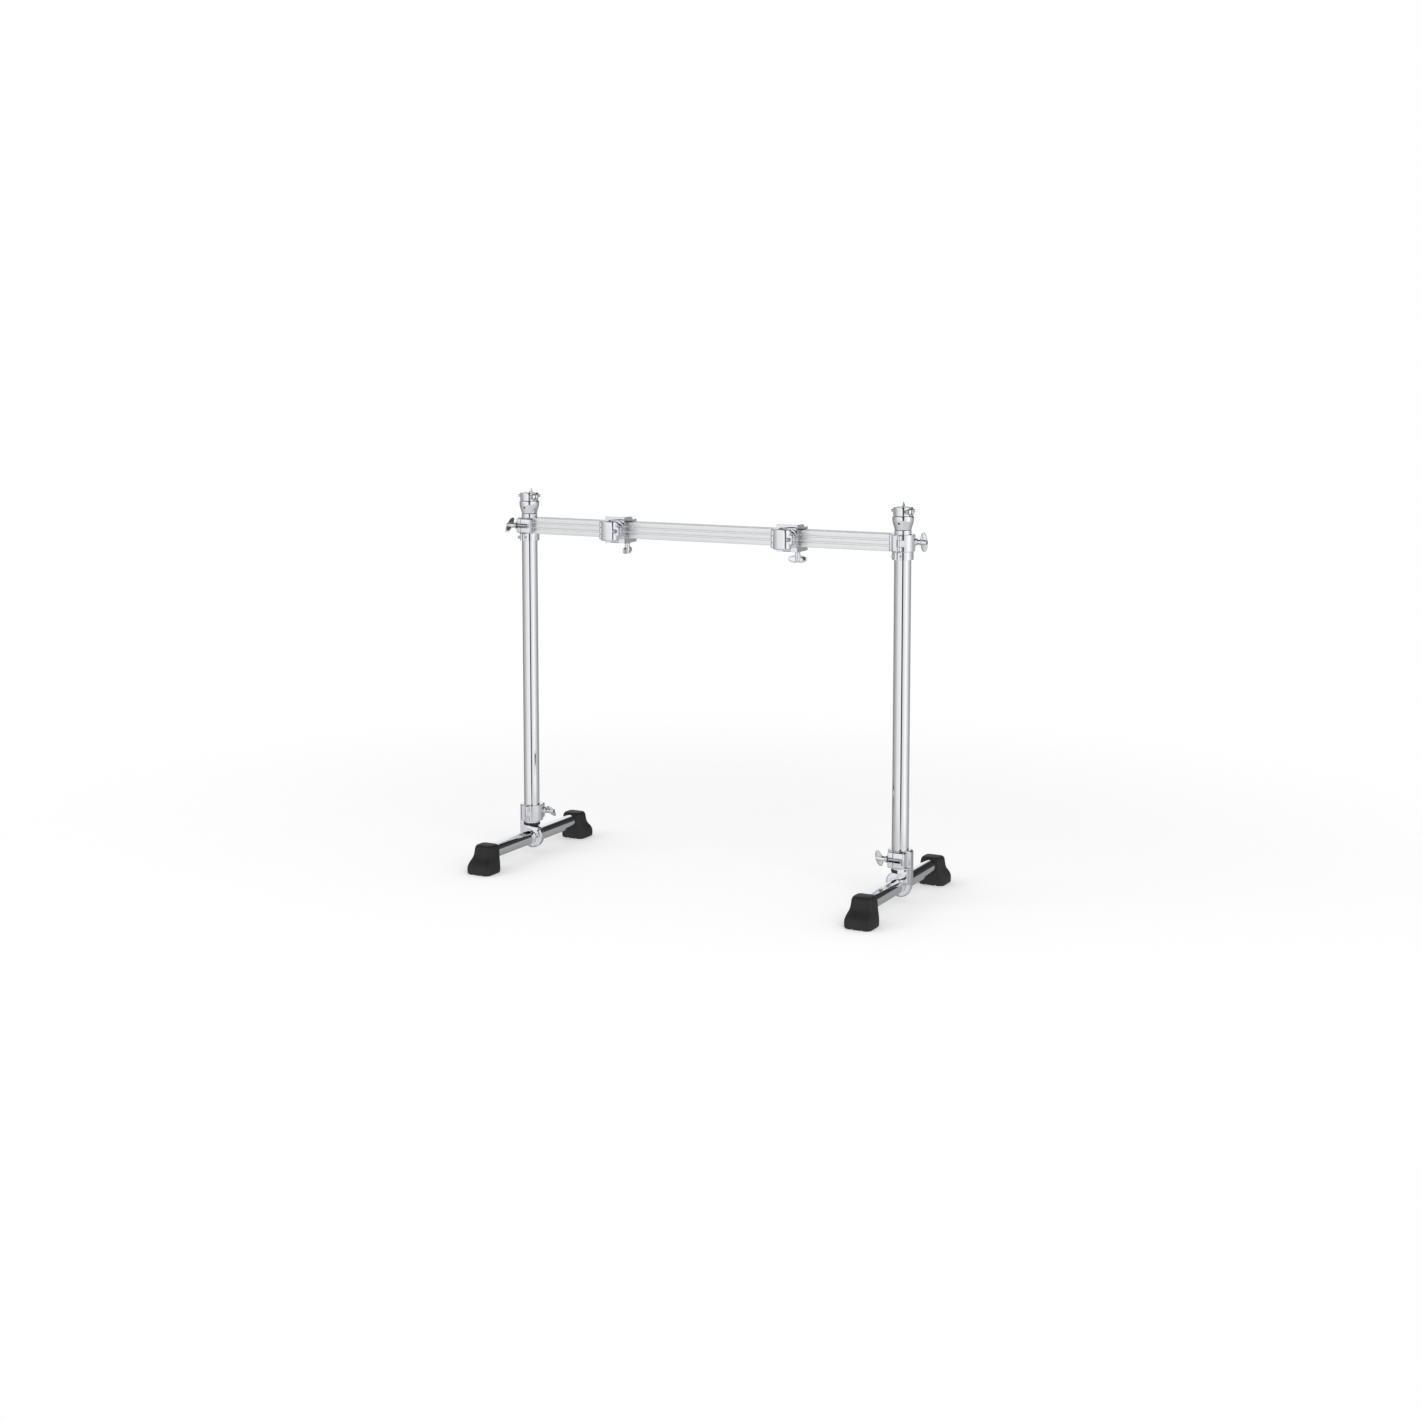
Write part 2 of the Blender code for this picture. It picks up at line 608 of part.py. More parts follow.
def tee_body():
    """Drawn like the collar, with heights measured from the floor: spine at -X, bolt and web at +Y."""
    middle = TEE_COLLAR_HEIGHT
    collar_top = middle + TEE_COLLAR_LENGTH / 2
    collar_bottom = middle - TEE_COLLAR_LENGTH / 2
    back = -TEE_RING_RADIUS + 0.0003
    shape = moved(collar_fixed_half(TEE_COLLAR_LENGTH), Matrix.Translation((0, 0, middle)))
    half_spine = TEE_SPINE_WIDTH / 2
    spine_low = (back, -half_spine, FOOT_TUBE_HEIGHT - 0.004)
    join(shape, box(spine_low, (back + TEE_SPINE_THICKNESS, half_spine, collar_top - LUG_INSET)))
    web_face = COLLAR_BORE + GAP + TEE_WEB_THICKNESS
    web_top = collar_bottom + LUG_INSET + 0.002
    web_bottom = FOOT_TUBE_HEIGHT + 0.004
    turn_height = web_bottom + TEE_WEB_ROUNDING
    web = [(0.004, web_top), (0.004, web_bottom - 0.002), (half_spine - 0.002, web_bottom)]
    for i in range(CORNER_STEPS + 1):
        angle = math.pi / 2 * (1 - i / CORNER_STEPS)
        y = web_face - TEE_WEB_ROUNDING * (1 - math.cos(angle))
        web.append((y, turn_height - TEE_WEB_ROUNDING * math.sin(angle)))
    web.append((web_face, web_top))
    web_back = back + GAP
    web_depth = -TEE_WEB_REACH - web_back
    web_plate = face_right(plate(web, web_depth))
    join(shape, moved(web_plate, Matrix.Translation((web_back + web_depth / 2, 0, 0))))
    ring_half = TEE_RING_LENGTH / 2
    ring_start = (0, -ring_half, FOOT_TUBE_HEIGHT)
    join(shape, rod(TEE_RING_RADIUS, ring_start, (0, ring_half, FOOT_TUBE_HEIGHT), COLLAR_SIDES))
    ear = TEE_EAR_WIDTH / 2
    ear_outline = rounded(
        0.010, TEE_EAR_REACH, FOOT_TUBE_HEIGHT - TEE_EAR_HEIGHT / 2, FOOT_TUBE_HEIGHT + TEE_EAR_HEIGHT / 2, 0.006
    )
    join(shape, moved(plate(ear_outline, 2 * ear), Matrix.Rotation(math.pi / 2, 4, "X")))
    plug_room = POST_PLUG_FLANGE_RADIUS + 2 * GAP
    cut(shape, rod(plug_room, (0, 0, PLUG_BOTTOM - GAP / 2), (0, 0, collar_bottom + 0.0005), BORE_SIDES))
    cut(shape, rod(COLLAR_BORE, (0, 0, collar_bottom - 0.001), (0, 0, FAR), BORE_SIDES))
    tube_bore = FOOT_TUBE_RADIUS + GAP
    cut(shape, rod(tube_bore, (0, -FAR, FOOT_TUBE_HEIGHT), (0, FAR, FOOT_TUBE_HEIGHT), BORE_SIDES))
    cut(shape, box((-TEE_SLIT / 2, -FAR, -FAR), (TEE_SLIT / 2, FAR, FOOT_TUBE_HEIGHT - FOOT_TUBE_RADIUS / 2)))
    return shape


# Posts and what rides on them


def post_plug():
    bore = POST_BORE - GAP - POST_PLUG_WALL
    flange_top = POST_PLUG_FLANGE
    top = flange_top + POST_PLUG_DEPTH
    profile = [
        (POST_BORE - GAP, top),
        (POST_BORE - GAP, flange_top),
        (POST_PLUG_FLANGE_RADIUS, flange_top),
        (POST_PLUG_FLANGE_RADIUS, 0.0),
        (bore, 0.0),
        (bore, top),
    ]
    return turned(profile, COLLAR_SIDES)


def memory_lock():
    shape = rod(LOCK_RADIUS, (0, 0, 0), (0, 0, LOCK_LENGTH), COLLAR_SIDES)
    half = LOCK_EAR_WIDTH / 2
    ear_low = (-half, -COLLAR_BORE - LOCK_EAR_REACH, LOCK_EAR_INSET)
    join(shape, box(ear_low, (half, -COLLAR_BORE, LOCK_LENGTH - LOCK_EAR_INSET)))
    cut(shape, rod(COLLAR_BORE, (0, 0, -FAR), (0, 0, FAR), BORE_SIDES))
    cut(shape, box((-LOCK_SLIT / 2, -FAR, -FAR), (LOCK_SLIT / 2, 0, FAR)))
    hole = (-FAR, -COLLAR_BORE - LOCK_BOLT_STANDOFF, LOCK_LENGTH / 2)
    cut(shape, rod(KEY_RADIUS + GAP, hole, (FAR, hole[1], hole[2]), PIN_SIDES))
    return shape


def bowl():
    """Goblet-shaped holder on the post, with its plug inside it. Height 0 is the post's top."""
    plug = POST_BORE - GAP
    rise = BOWL_HEIGHT + GAP
    steps = 3
    profile = [(BOWL_RADIUS, rise), (BOWL_RADIUS, rise - BOWL_LIP)]
    for i in range(1, steps + 1):
        share = i / steps
        swell = math.cos(share * math.pi / 2)
        profile.append((lerp(BOWL_FOOT_RADIUS, BOWL_RADIUS, swell ** 0.8), lerp(rise - BOWL_LIP, GAP, share)))
    profile += [(plug, GAP), (plug, -BOWL_PLUG_DEPTH), (HOLDER_BORE, -BOWL_PLUG_DEPTH), (HOLDER_BORE, rise)]
    return turned(profile, BORE_SIDES)


def holder_ring():
    """Split ring on the bowl, with a lug pair at the right front and an upright stud at the back."""
    shape = rod(RING_RADIUS, (0, 0, 0), (0, 0, RING_HEIGHT), COLLAR_SIDES)
    half = RING_EAR_WIDTH / 2
    low = (RING_HEIGHT - RING_EAR_HEIGHT) / 2
    ear_high = (RING_RADIUS + RING_EAR_REACH, half, low + RING_EAR_HEIGHT)
    ear = soft_box((HOLDER_BORE, -half, low), ear_high, 0.002)
    slit = box((0, -RING_SLIT / 2, -FAR), (FAR, RING_SLIT / 2, FAR))
    bolt_line = (RING_RADIUS + RING_BOLT_STANDOFF, -FAR, RING_HEIGHT / 2)
    hole = rod(KEY_RADIUS + GAP, bolt_line, (bolt_line[0], FAR, bolt_line[2]), PIN_SIDES)
    turn = Matrix.Rotation(RING_EAR_ANGLE, 4, "Z")
    join(shape, moved(ear, turn))
    stud_line = HOLDER_BORE + RING_WALL / 2
    x = stud_line * math.cos(STUD_ANGLE)
    y = stud_line * math.sin(STUD_ANGLE)
    join(shape, rod(STUD_RADIUS, (x, y, RING_HEIGHT - 0.002), (x, y, RING_HEIGHT + STUD_HEIGHT), 8))
    cut(shape, rod(HOLDER_BORE, (0, 0, -FAR), (0, 0, FAR), BORE_SIDES))
    cut(shape, moved(slit, turn), moved(hole, turn))
    return shape


# Bar and its ends


def face_profile():
    """One face of the extrusion, left to right along X, as (along, outward) with two shallow grooves."""
    half = BAR_HALF
    points = []
    for centre in (-BAR_GROOVE_OFFSET, BAR_GROOVE_OFFSET):
        points.append((centre - BAR_GROOVE_WIDTH / 2, half))
        points.append((centre - BAR_GROOVE_WIDTH / 4, half - BAR_GROOVE_DEPTH))
        points.append((centre + BAR_GROOVE_WIDTH / 4, half - BAR_GROOVE_DEPTH))
        points.append((centre + BAR_GROOVE_WIDTH / 2, half))
    return points


def bar():
    """Hollow square extrusion along X, centred on its own middle."""
    length = POST_SPACING - 2 * (BRACKET_REACH + GAP)
    edge = BAR_HALF - BAR_CORNER
    outline = []
    for quarter in range(4):
        turn = Matrix.Rotation(-quarter * math.pi / 2, 2)
        side = [Vector(point) for point in face_profile()]
        for i in range(CORNER_STEPS):
            angle = math.pi / 2 * (1 - i / (CORNER_STEPS - 1))
            side.append(Vector((edge + BAR_CORNER * math.cos(angle), edge + BAR_CORNER * math.sin(angle))))
        outline += [tuple(turn @ point) for point in side]
    inside = BAR_HALF - BAR_WALL
    hole = [(-inside, -inside), (inside, -inside), (inside, inside), (-inside, inside)]
    shape = plate(outline, length, hole)
    return moved(shape, Matrix.Rotation(math.pi / 2, 4, "Y"))


def bar_bracket():
    """Fixed half of the bar-end collar, with its square body and the plug inside the bar, towards -X."""
    half = BAR_HALF
    plug = BAR_HALF - BAR_WALL - GAP
    body = box((-BRACKET_REACH, -half + 0.0002, -half + 0.0002), (0, half - 0.0002, half - 0.0002))
    stem = box((-BRACKET_REACH - BRACKET_PLUG_LENGTH, -plug, -plug), (-BRACKET_REACH + 0.004, plug, plug))
    return collar_fixed_half(BAR_SIDE, (body, stem), BRACKET_REACH - GAP)


# Bar clamps. They are drawn round the bar's middle, with the web at -Y and the bolt behind the bar at +Y.


def clamp_body():
    half = CLAMP_WIDTH / 2
    fork = CLAMP_FORK_WIDTH / 2
    lug_top = CLAMP_INSIDE + CLAMP_LUG_STEP
    side = [
        (-CLAMP_FRONT, -CLAMP_OUTSIDE + 0.0005),
        (-CLAMP_INSIDE, -CLAMP_OUTSIDE + 0.0005),
        (-CLAMP_INSIDE, CLAMP_INSIDE),
        (BAR_HALF, CLAMP_INSIDE),
        (BAR_HALF, lug_top),
        (CLAMP_STEP_END, lug_top),
        (CLAMP_STEP_START, CLAMP_OUTSIDE),
        (-CLAMP_FRONT, CLAMP_OUTSIDE),
    ]
    shape = face_right(plate(side, 2 * half))
    lug_bottom = lug_top - CLAMP_LUG_HEIGHT
    lug = [
        (CLAMP_STEP_END + 0.002, lug_top - 0.0001),
        (CLAMP_STEP_END + 0.002, CLAMP_INSIDE + 0.0001),
        (CLAMP_INSIDE, CLAMP_INSIDE + 0.0001),
        (CLAMP_INSIDE, lug_bottom),
        (CLAMP_BACK, lug_bottom),
        (CLAMP_BACK, lug_top - 0.0001),
    ]
    join(shape, face_right(plate(lug, 2 * fork)))
    cradle = CLAMP_HEAD_LENGTH / 2 + GAP
    head_start = (-cradle, CLAMP_BOLT_LINE, CLAMP_HEAD_Z)
    room = BOLT_HEAD_RADIUS + GAP
    cut(shape, rod(room, head_start, (cradle, *head_start[1:]), KNUCKLE_SIDES))
    cradle_low = (-cradle, CLAMP_BOLT_LINE - room, CLAMP_HEAD_Z)
    cut(shape, box(cradle_low, (cradle, CLAMP_BOLT_LINE + room, FAR)))
    cut(shape, box((-SLOT_HALF, CLAMP_BOLT_LINE - SLOT_HALF, -FAR), (SLOT_HALF, FAR, CLAMP_HEAD_Z)))
    cut(shape, box((-SLOT_HALF, CLAMP_BOLT_LINE + BOLT_RADIUS / 2, -FAR), (SLOT_HALF, FAR, FAR)))
    tongue = CLAMP_TONGUE_WIDTH / 2 + GAP
    tongue_room = CLAMP_KNUCKLE_RADIUS + 2 * GAP
    tongue_back = CLAMP_KNUCKLE_Z + tongue_room
    cut(shape, box((-tongue, -FAR, -FAR), (tongue, -CLAMP_INSIDE + 0.001, tongue_back)))
    pin_start = (-FAR, CLAMP_KNUCKLE_Y, CLAMP_KNUCKLE_Z)
    cut(shape, rod(PIN_RADIUS + GAP, pin_start, (FAR, pin_start[1], pin_start[2]), PIN_SIDES))
    cut(shape, rod(SPIGOT_RADIUS + GAP, (0, -FAR, 0), (0, 0, 0), 16))
    return shape


def clamp_jaw():
    half = CLAMP_EAR_WIDTH / 2
    fork = CLAMP_FORK_WIDTH / 2
    front = -CLAMP_INSIDE + 0.0006
    shape = box((-half, front, -CLAMP_OUTSIDE), (half, BAR_HALF, -CLAMP_INSIDE))
    join(shape, box((-fork, 0.002, -CLAMP_OUTSIDE), (fork, CLAMP_BACK, -CLAMP_INSIDE - 0.0001)))
    tongue = CLAMP_TONGUE_WIDTH / 2
    tongue_start = (-tongue, CLAMP_KNUCKLE_Y, CLAMP_KNUCKLE_Z)
    join(shape, rod(CLAMP_KNUCKLE_RADIUS, tongue_start, (tongue, *tongue_start[1:]), KNUCKLE_SIDES))
    link_low = (-tongue, CLAMP_KNUCKLE_Y, -CLAMP_OUTSIDE + 0.0002)
    join(shape, box(link_low, (tongue, front + 0.004, CLAMP_KNUCKLE_Z + CLAMP_KNUCKLE_RADIUS - 0.0002)))
    cut(shape, box((-SLOT_HALF, CLAMP_BOLT_LINE - SLOT_HALF, -FAR), (SLOT_HALF, FAR, FAR)))
    pin_start = (-FAR, CLAMP_KNUCKLE_Y, CLAMP_KNUCKLE_Z)
    cut(shape, rod(PIN_RADIUS + GAP, pin_start, (FAR, pin_start[1], pin_start[2]), PIN_SIDES))
    return shape


def clamp_pin():
    half = CLAMP_EAR_WIDTH / 2
    return rod(PIN_RADIUS, (-half, 0, 0), (half, 0, 0), PIN_SIDES)


def holder_outline(shrink=0.0):
    width = TUBE_HOLDER_WIDTH / 2 - shrink
    height = TUBE_HOLDER_HEIGHT / 2 - shrink
    return rounded(-width, width, -height, height, TUBE_HOLDER_CORNER - shrink / 2)


def knuckle_rod(low, high, extra=0.0):
    x = -TUBE_KNUCKLE_OFFSET
    return rod(TUBE_KNUCKLE_RADIUS + extra, (x, TUBE_LINE, low), (x, TUBE_LINE, high), KNUCKLE_SIDES)


def tube_lug(front, back):
    half = TUBE_LUG_HEIGHT / 2
    return box((TUBE_HOLDER_WIDTH / 2 - 0.006, front, -half), (TUBE_LUG_REACH, back, half))


def tube_bore():
    return rod(TUBE_BORE, (0, TUBE_LINE, -FAR), (0, TUBE_LINE, FAR), BORE_SIDES)


def tube_pin_hole():
    x = -TUBE_KNUCKLE_OFFSET
    return rod(PIN_RADIUS + GAP, (x, TUBE_LINE, -FAR), (x, TUBE_LINE, FAR), PIN_SIDES)


def stand_up(shape, front, back):
    """Turns a plate drawn in XY to face -Y between two depths."""
    moved(shape, Matrix.Rotation(math.pi / 2, 4, "X"))
    return moved(shape, Matrix.Translation((0, (front + back) / 2, 0)))


def tube_base():
    """Half of the tube holder that turns on the clamp body, with its round spigot in the web."""
    front = TUBE_LINE + TUBE_HOLDER_SPLIT / 2
    shape = stand_up(plate(holder_outline(), HOLDER_BACK - front), front, HOLDER_BACK)
    join(shape, rod(SPIGOT_RADIUS, (0, HOLDER_BACK - 0.002, 0), (0, HOLDER_BACK + SPIGOT_LENGTH, 0), 16))
    join(shape, tube_lug(front, HOLDER_BACK - 0.003))
    half = TUBE_KNUCKLE_LENGTH / 2
    cut(shape, knuckle_rod(half, FAR, 2 * GAP), knuckle_rod(-FAR, -half, 2 * GAP))
    join(shape, knuckle_rod(-half, half))
    bolt_start = (TUBE_BOLT_OFFSET, TUBE_LINE, 0)
    bolt_end = (TUBE_BOLT_OFFSET, TUBE_LINE + TUBE_BOLT_EMBED + GAP, 0)
    cut(shape, tube_bore(), tube_pin_hole(), rod(KEY_RADIUS + GAP, bolt_start, bolt_end, PIN_SIDES))
    return shape


def tube_cap():
    """Hinged half of the tube holder, with a domed front."""
    back = TUBE_LINE - TUBE_HOLDER_SPLIT / 2
    rings = []
    for depth, shrink in ((0.0, 0.0), (0.35, 0.07), (0.72, 0.40), (1.0, 1.0)):
        y = lerp(back, CAP_FRONT, depth)
        rings.append([(x, y, z) for x, z in holder_outline(shrink * TUBE_CAP_CHAMFER)])
    shape = loft(rings)
    join(shape, tube_lug(lerp(back, CAP_FRONT, 0.62), back))
    half = TUBE_KNUCKLE_LENGTH / 2
    span = TUBE_KNUCKLE_SPAN / 2
    cut(shape, knuckle_rod(-half - GAP, half + GAP, 2 * GAP))
    join(shape, knuckle_rod(half + GAP, span), knuckle_rod(-span, -half - GAP))
    bolt_start = (TUBE_BOLT_OFFSET, -FAR, 0)
    seat = (TUBE_BOLT_OFFSET, bolt_seat(), 0)
    cut(shape, tube_bore(), tube_pin_hole())
    cut(shape, rod(KEY_RADIUS + GAP, bolt_start, (TUBE_BOLT_OFFSET, 0, 0), PIN_SIDES))
    cut(shape, rod(KEY_FLANGE_RADIUS + 2 * GAP, bolt_start, seat, KNUCKLE_SIDES))
    return shape


def bolt_seat():
    return lerp(TUBE_LINE, CAP_FRONT, 0.62)


def tube_pin():
    half = TUBE_KNUCKLE_SPAN / 2 + 0.001
    return rod(PIN_RADIUS, (0, 0, -half), (0, 0, half), PIN_SIDES)


# Assembly


def assemble_feet(chrome, rubber, black, steel):
    tube_mesh = finished(foot_tube(), chrome)
    rubber_mesh = finished(rubber_foot(), rubber)
    body_mesh = finished(tee_body(), chrome)
    jaw_mesh = finished(collar_jaw(TEE_COLLAR_LENGTH), chrome)
    pin_mesh = finished(hinge_pin(TEE_COLLAR_LENGTH), steel)
    bolt_reach = BOLT_PIVOT_SETBACK + JAW_LUG_REACH + BOLT_OVERHANG
    bolt_mesh = finished(swing_bolt(bolt_reach, BOLT_HEAD_LENGTH), steel)
    nut_mesh = finished(wing_nut(), chrome)
    plug_mesh = finished(post_plug(), black)
    spins = {"left": math.radians(45), "right": math.radians(-25)}
    for side, sign, turn in (("left", -1, 0.0), ("right", 1, math.pi)):
        x = sign * POST_SPACING / 2
        foot = anchor(f"{side}_foot", (x, 0, 0), turn)
        place(f"{side}_foot_tube", tube_mesh, (0, 0, FOOT_TUBE_HEIGHT), parent=foot)
        front_turn = math.pi - turn
        front_y = -FOOT_REACH if turn == 0.0 else FOOT_REACH
        place(f"{side}_front_rubber_foot", rubber_mesh, (0, front_y, 0), (0, 0, front_turn), foot)
        place(f"{side}_back_rubber_foot", rubber_mesh, (0, -front_y, 0), (0, 0, -turn), foot)
        place(f"{side}_tee_body", body_mesh, parent=foot)
        place(f"{side}_tee_jaw", jaw_mesh, (0, 0, TEE_COLLAR_HEIGHT), parent=foot)
        hinge = (COLLAR_SPLIT_OFFSET, -KNUCKLE_LINE, TEE_COLLAR_HEIGHT)
        place(f"{side}_tee_hinge_pin", pin_mesh, hinge, parent=foot)
        pivot = (-BOLT_PIVOT_SETBACK, BOLT_LINE, TEE_COLLAR_HEIGHT)
        place(f"{side}_tee_bolt", bolt_mesh, pivot, parent=foot)
        nut = (NUT_PLACE, BOLT_LINE, TEE_COLLAR_HEIGHT)
        place(f"{side}_tee_wing_nut", nut_mesh, nut, (spins[side], 0, 0), foot)
        place(f"{side}_post_plug", plug_mesh, (x, 0, PLUG_BOTTOM))


def assemble_posts(chrome, steel):
    post_mesh = finished(tube(POST_RADIUS, POST_BORE, 0, POST_LENGTH, POST_SIDES), chrome)
    lock_mesh = finished(memory_lock(), chrome)
    lock_bolt_mesh = finished(key_bolt(LOCK_EAR_WIDTH + 0.002), steel)
    bowl_mesh = finished(bowl(), chrome)
    ring_mesh = finished(holder_ring(), chrome)
    ring_bolt_mesh = finished(key_bolt(RING_EAR_WIDTH + 0.003), steel)
    lock_bottom = BAR_HEIGHT - BAR_HALF - GAP - LOCK_LENGTH
    for side, sign in (("left", -1), ("right", 1)):
        x = sign * POST_SPACING / 2
        place(f"{side}_post", post_mesh, (x, 0, POST_BOTTOM))
        place(f"{side}_memory_lock", lock_mesh, (x, 0, lock_bottom))
        bolt_x = x - LOCK_EAR_WIDTH / 2 - GAP
        bolt_y = -COLLAR_BORE - LOCK_BOLT_STANDOFF
        place(f"{side}_memory_lock_bolt", lock_bolt_mesh, (bolt_x, bolt_y, lock_bottom + LOCK_LENGTH / 2))
        place(f"{side}_holder_bowl", bowl_mesh, (x, 0, POST_TOP))
        place(f"{side}_holder_ring", ring_mesh, (x, 0, RING_BOTTOM))
        turn = Matrix.Rotation(RING_EAR_ANGLE, 3, "Z")
        seat = Vector((RING_RADIUS + RING_BOLT_STANDOFF, -RING_EAR_WIDTH / 2 - GAP, RING_HEIGHT / 2))
        bolt_turn = (0, 0, RING_EAR_ANGLE + math.pi / 2)
        place(f"{side}_holder_bolt", ring_bolt_mesh, Vector((x, 0, RING_BOTTOM)) + turn @ seat, bolt_turn)


def assemble_bar(chrome, satin, steel):
    place("bar", finished(bar(), satin), (0, 0, BAR_HEIGHT))
    bracket_mesh = finished(bar_bracket(), chrome)
    jaw_mesh = finished(collar_jaw(BAR_SIDE), chrome)
    pin_mesh = finished(hinge_pin(BAR_SIDE), steel)
    bolt_reach = BOLT_PIVOT_SETBACK + JAW_LUG_REACH + BOLT_OVERHANG
    bolt_mesh = finished(swing_bolt(bolt_reach, BOLT_HEAD_LENGTH), steel)
    nut_mesh = finished(wing_nut(), chrome)
    spins = {"left": math.radians(27), "right": math.radians(7)}
    for side, sign, turn in (("left", -1, math.pi), ("right", 1, 0.0)):
        end = anchor(f"{side}_bar_end", (sign * POST_SPACING / 2, 0, BAR_HEIGHT), turn)
        place(f"{side}_bar_bracket", bracket_mesh, parent=end)
        place(f"{side}_bar_jaw", jaw_mesh, parent=end)
        place(f"{side}_bar_hinge_pin", pin_mesh, (COLLAR_SPLIT_OFFSET, -KNUCKLE_LINE, 0), parent=end)
        place(f"{side}_bar_bolt", bolt_mesh, (-BOLT_PIVOT_SETBACK, BOLT_LINE, 0), parent=end)
        place(f"{side}_bar_wing_nut", nut_mesh, (NUT_PLACE, BOLT_LINE, 0), (spins[side], 0, 0), end)


def assemble_clamps(chrome, steel):
    body_mesh = finished(clamp_body(), chrome)
    jaw_mesh = finished(clamp_jaw(), chrome)
    pin_mesh = finished(clamp_pin(), steel)
    bolt_mesh = finished(swing_bolt(CLAMP_NUT_ARM + CLAMP_NUT_GAP + BOLT_OVERHANG, CLAMP_HEAD_LENGTH), steel)
    nut_mesh = finished(wing_nut(), chrome)
    base_mesh = finished(tube_base(), chrome)
    cap_mesh = finished(tube_cap(), chrome)
    tube_pin_mesh = finished(tube_pin(), steel)
    tube_bolt_mesh = finished(key_bolt(bolt_length()), steel)
    spins = {"left": math.radians(-90), "right": math.radians(-27)}
    for side, x in (("left", LEFT_CLAMP_PLACE), ("right", RIGHT_CLAMP_PLACE)):
        clamp = anchor(f"{side}_clamp", (x, 0, BAR_HEIGHT))
        place(f"{side}_clamp_body", body_mesh, parent=clamp)
        place(f"{side}_clamp_jaw", jaw_mesh, parent=clamp)
        place(f"{side}_clamp_hinge_pin", pin_mesh, (0, CLAMP_KNUCKLE_Y, CLAMP_KNUCKLE_Z), parent=clamp)
        head = (0, CLAMP_BOLT_LINE, CLAMP_HEAD_Z)
        place(f"{side}_clamp_bolt", bolt_mesh, head, (0, math.pi / 2, 0), clamp)
        nut = (0, CLAMP_BOLT_LINE, -CLAMP_OUTSIDE - CLAMP_NUT_GAP)
        place(f"{side}_clamp_wing_nut", nut_mesh, nut, (spins[side], math.pi / 2, 0), clamp)
        place(f"{side}_tube_holder_base", base_mesh, parent=clamp)
        place(f"{side}_tube_holder_cap", cap_mesh, parent=clamp)
        place(f"{side}_tube_holder_pin", tube_pin_mesh, (-TUBE_KNUCKLE_OFFSET, TUBE_LINE, 0), parent=clamp)
        bolt_place = (TUBE_BOLT_OFFSET, bolt_seat() - GAP, 0)
        place(f"{side}_tube_holder_bolt", tube_bolt_mesh, bolt_place, (0, 0, math.pi / 2), clamp)


def bolt_length():
    return TUBE_LINE + TUBE_BOLT_EMBED - bolt_seat()


def main():
    clear_scene()
    chrome = paint("chrome", (0.80, 0.81, 0.83), 0.08, 1.0)
    satin = paint("satin_aluminium", (0.78, 0.78, 0.79), 0.32, 1.0)
    steel = paint("zinc_plated_steel", (0.55, 0.55, 0.57), 0.25, 1.0)
    rubber = paint("moulded_rubber", (0.02, 0.02, 0.02), 0.65, 0.0)
    black = paint("black_nylon", (0.03, 0.03, 0.03), 0.5, 0.0)
    assemble_feet(chrome, rubber, black, steel)
    assemble_posts(chrome, steel)
    assemble_bar(chrome, satin, steel)
    assemble_clamps(chrome, steel)
    bpy.data.collections.remove(WORKSHOP)
    bpy.context.view_layer.update()


main()
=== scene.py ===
"""Drum rack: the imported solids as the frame, dressed with plated, extruded and moulded finishes."""

import json
import math

import bmesh
import bpy
from mathutils import Matrix, Vector

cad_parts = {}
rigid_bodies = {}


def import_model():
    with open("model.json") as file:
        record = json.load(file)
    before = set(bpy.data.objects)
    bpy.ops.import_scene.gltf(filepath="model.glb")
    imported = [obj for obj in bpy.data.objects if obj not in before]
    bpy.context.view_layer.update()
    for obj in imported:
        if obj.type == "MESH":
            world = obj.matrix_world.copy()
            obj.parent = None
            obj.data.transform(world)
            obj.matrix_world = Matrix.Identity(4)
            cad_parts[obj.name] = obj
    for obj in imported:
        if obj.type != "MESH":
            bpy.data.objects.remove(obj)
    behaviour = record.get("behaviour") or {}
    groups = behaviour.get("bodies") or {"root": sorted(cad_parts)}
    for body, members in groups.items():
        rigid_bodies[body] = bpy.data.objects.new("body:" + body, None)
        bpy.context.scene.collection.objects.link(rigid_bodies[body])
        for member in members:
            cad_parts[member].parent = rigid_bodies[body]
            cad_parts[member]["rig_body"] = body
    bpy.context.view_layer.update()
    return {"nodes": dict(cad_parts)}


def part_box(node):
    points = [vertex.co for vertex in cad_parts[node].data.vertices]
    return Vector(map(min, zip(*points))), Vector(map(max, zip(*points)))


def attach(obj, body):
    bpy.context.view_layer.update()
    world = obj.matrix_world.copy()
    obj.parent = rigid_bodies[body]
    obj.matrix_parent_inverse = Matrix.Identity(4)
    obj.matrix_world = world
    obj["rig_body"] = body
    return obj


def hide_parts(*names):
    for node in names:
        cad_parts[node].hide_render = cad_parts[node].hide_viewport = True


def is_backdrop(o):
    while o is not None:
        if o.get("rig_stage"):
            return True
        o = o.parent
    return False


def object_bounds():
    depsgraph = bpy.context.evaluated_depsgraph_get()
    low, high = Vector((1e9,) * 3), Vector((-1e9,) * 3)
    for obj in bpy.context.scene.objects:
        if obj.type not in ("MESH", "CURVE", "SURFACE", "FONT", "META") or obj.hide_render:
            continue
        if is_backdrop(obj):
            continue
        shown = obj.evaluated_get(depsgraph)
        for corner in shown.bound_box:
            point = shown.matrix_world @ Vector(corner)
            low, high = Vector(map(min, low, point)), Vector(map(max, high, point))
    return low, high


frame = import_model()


# Camera
# A long lens from the front right, a little above the bar and tilted slightly down. The last of the framing is a
# small shift, because in the photograph the posts stay nearly upright.
CAMERA_PITCH, CAMERA_TURN = 5.4, 28.004
lens = bpy.data.cameras.new("lens")
lens.sensor_width = 36.0
lens.lens = 51.92
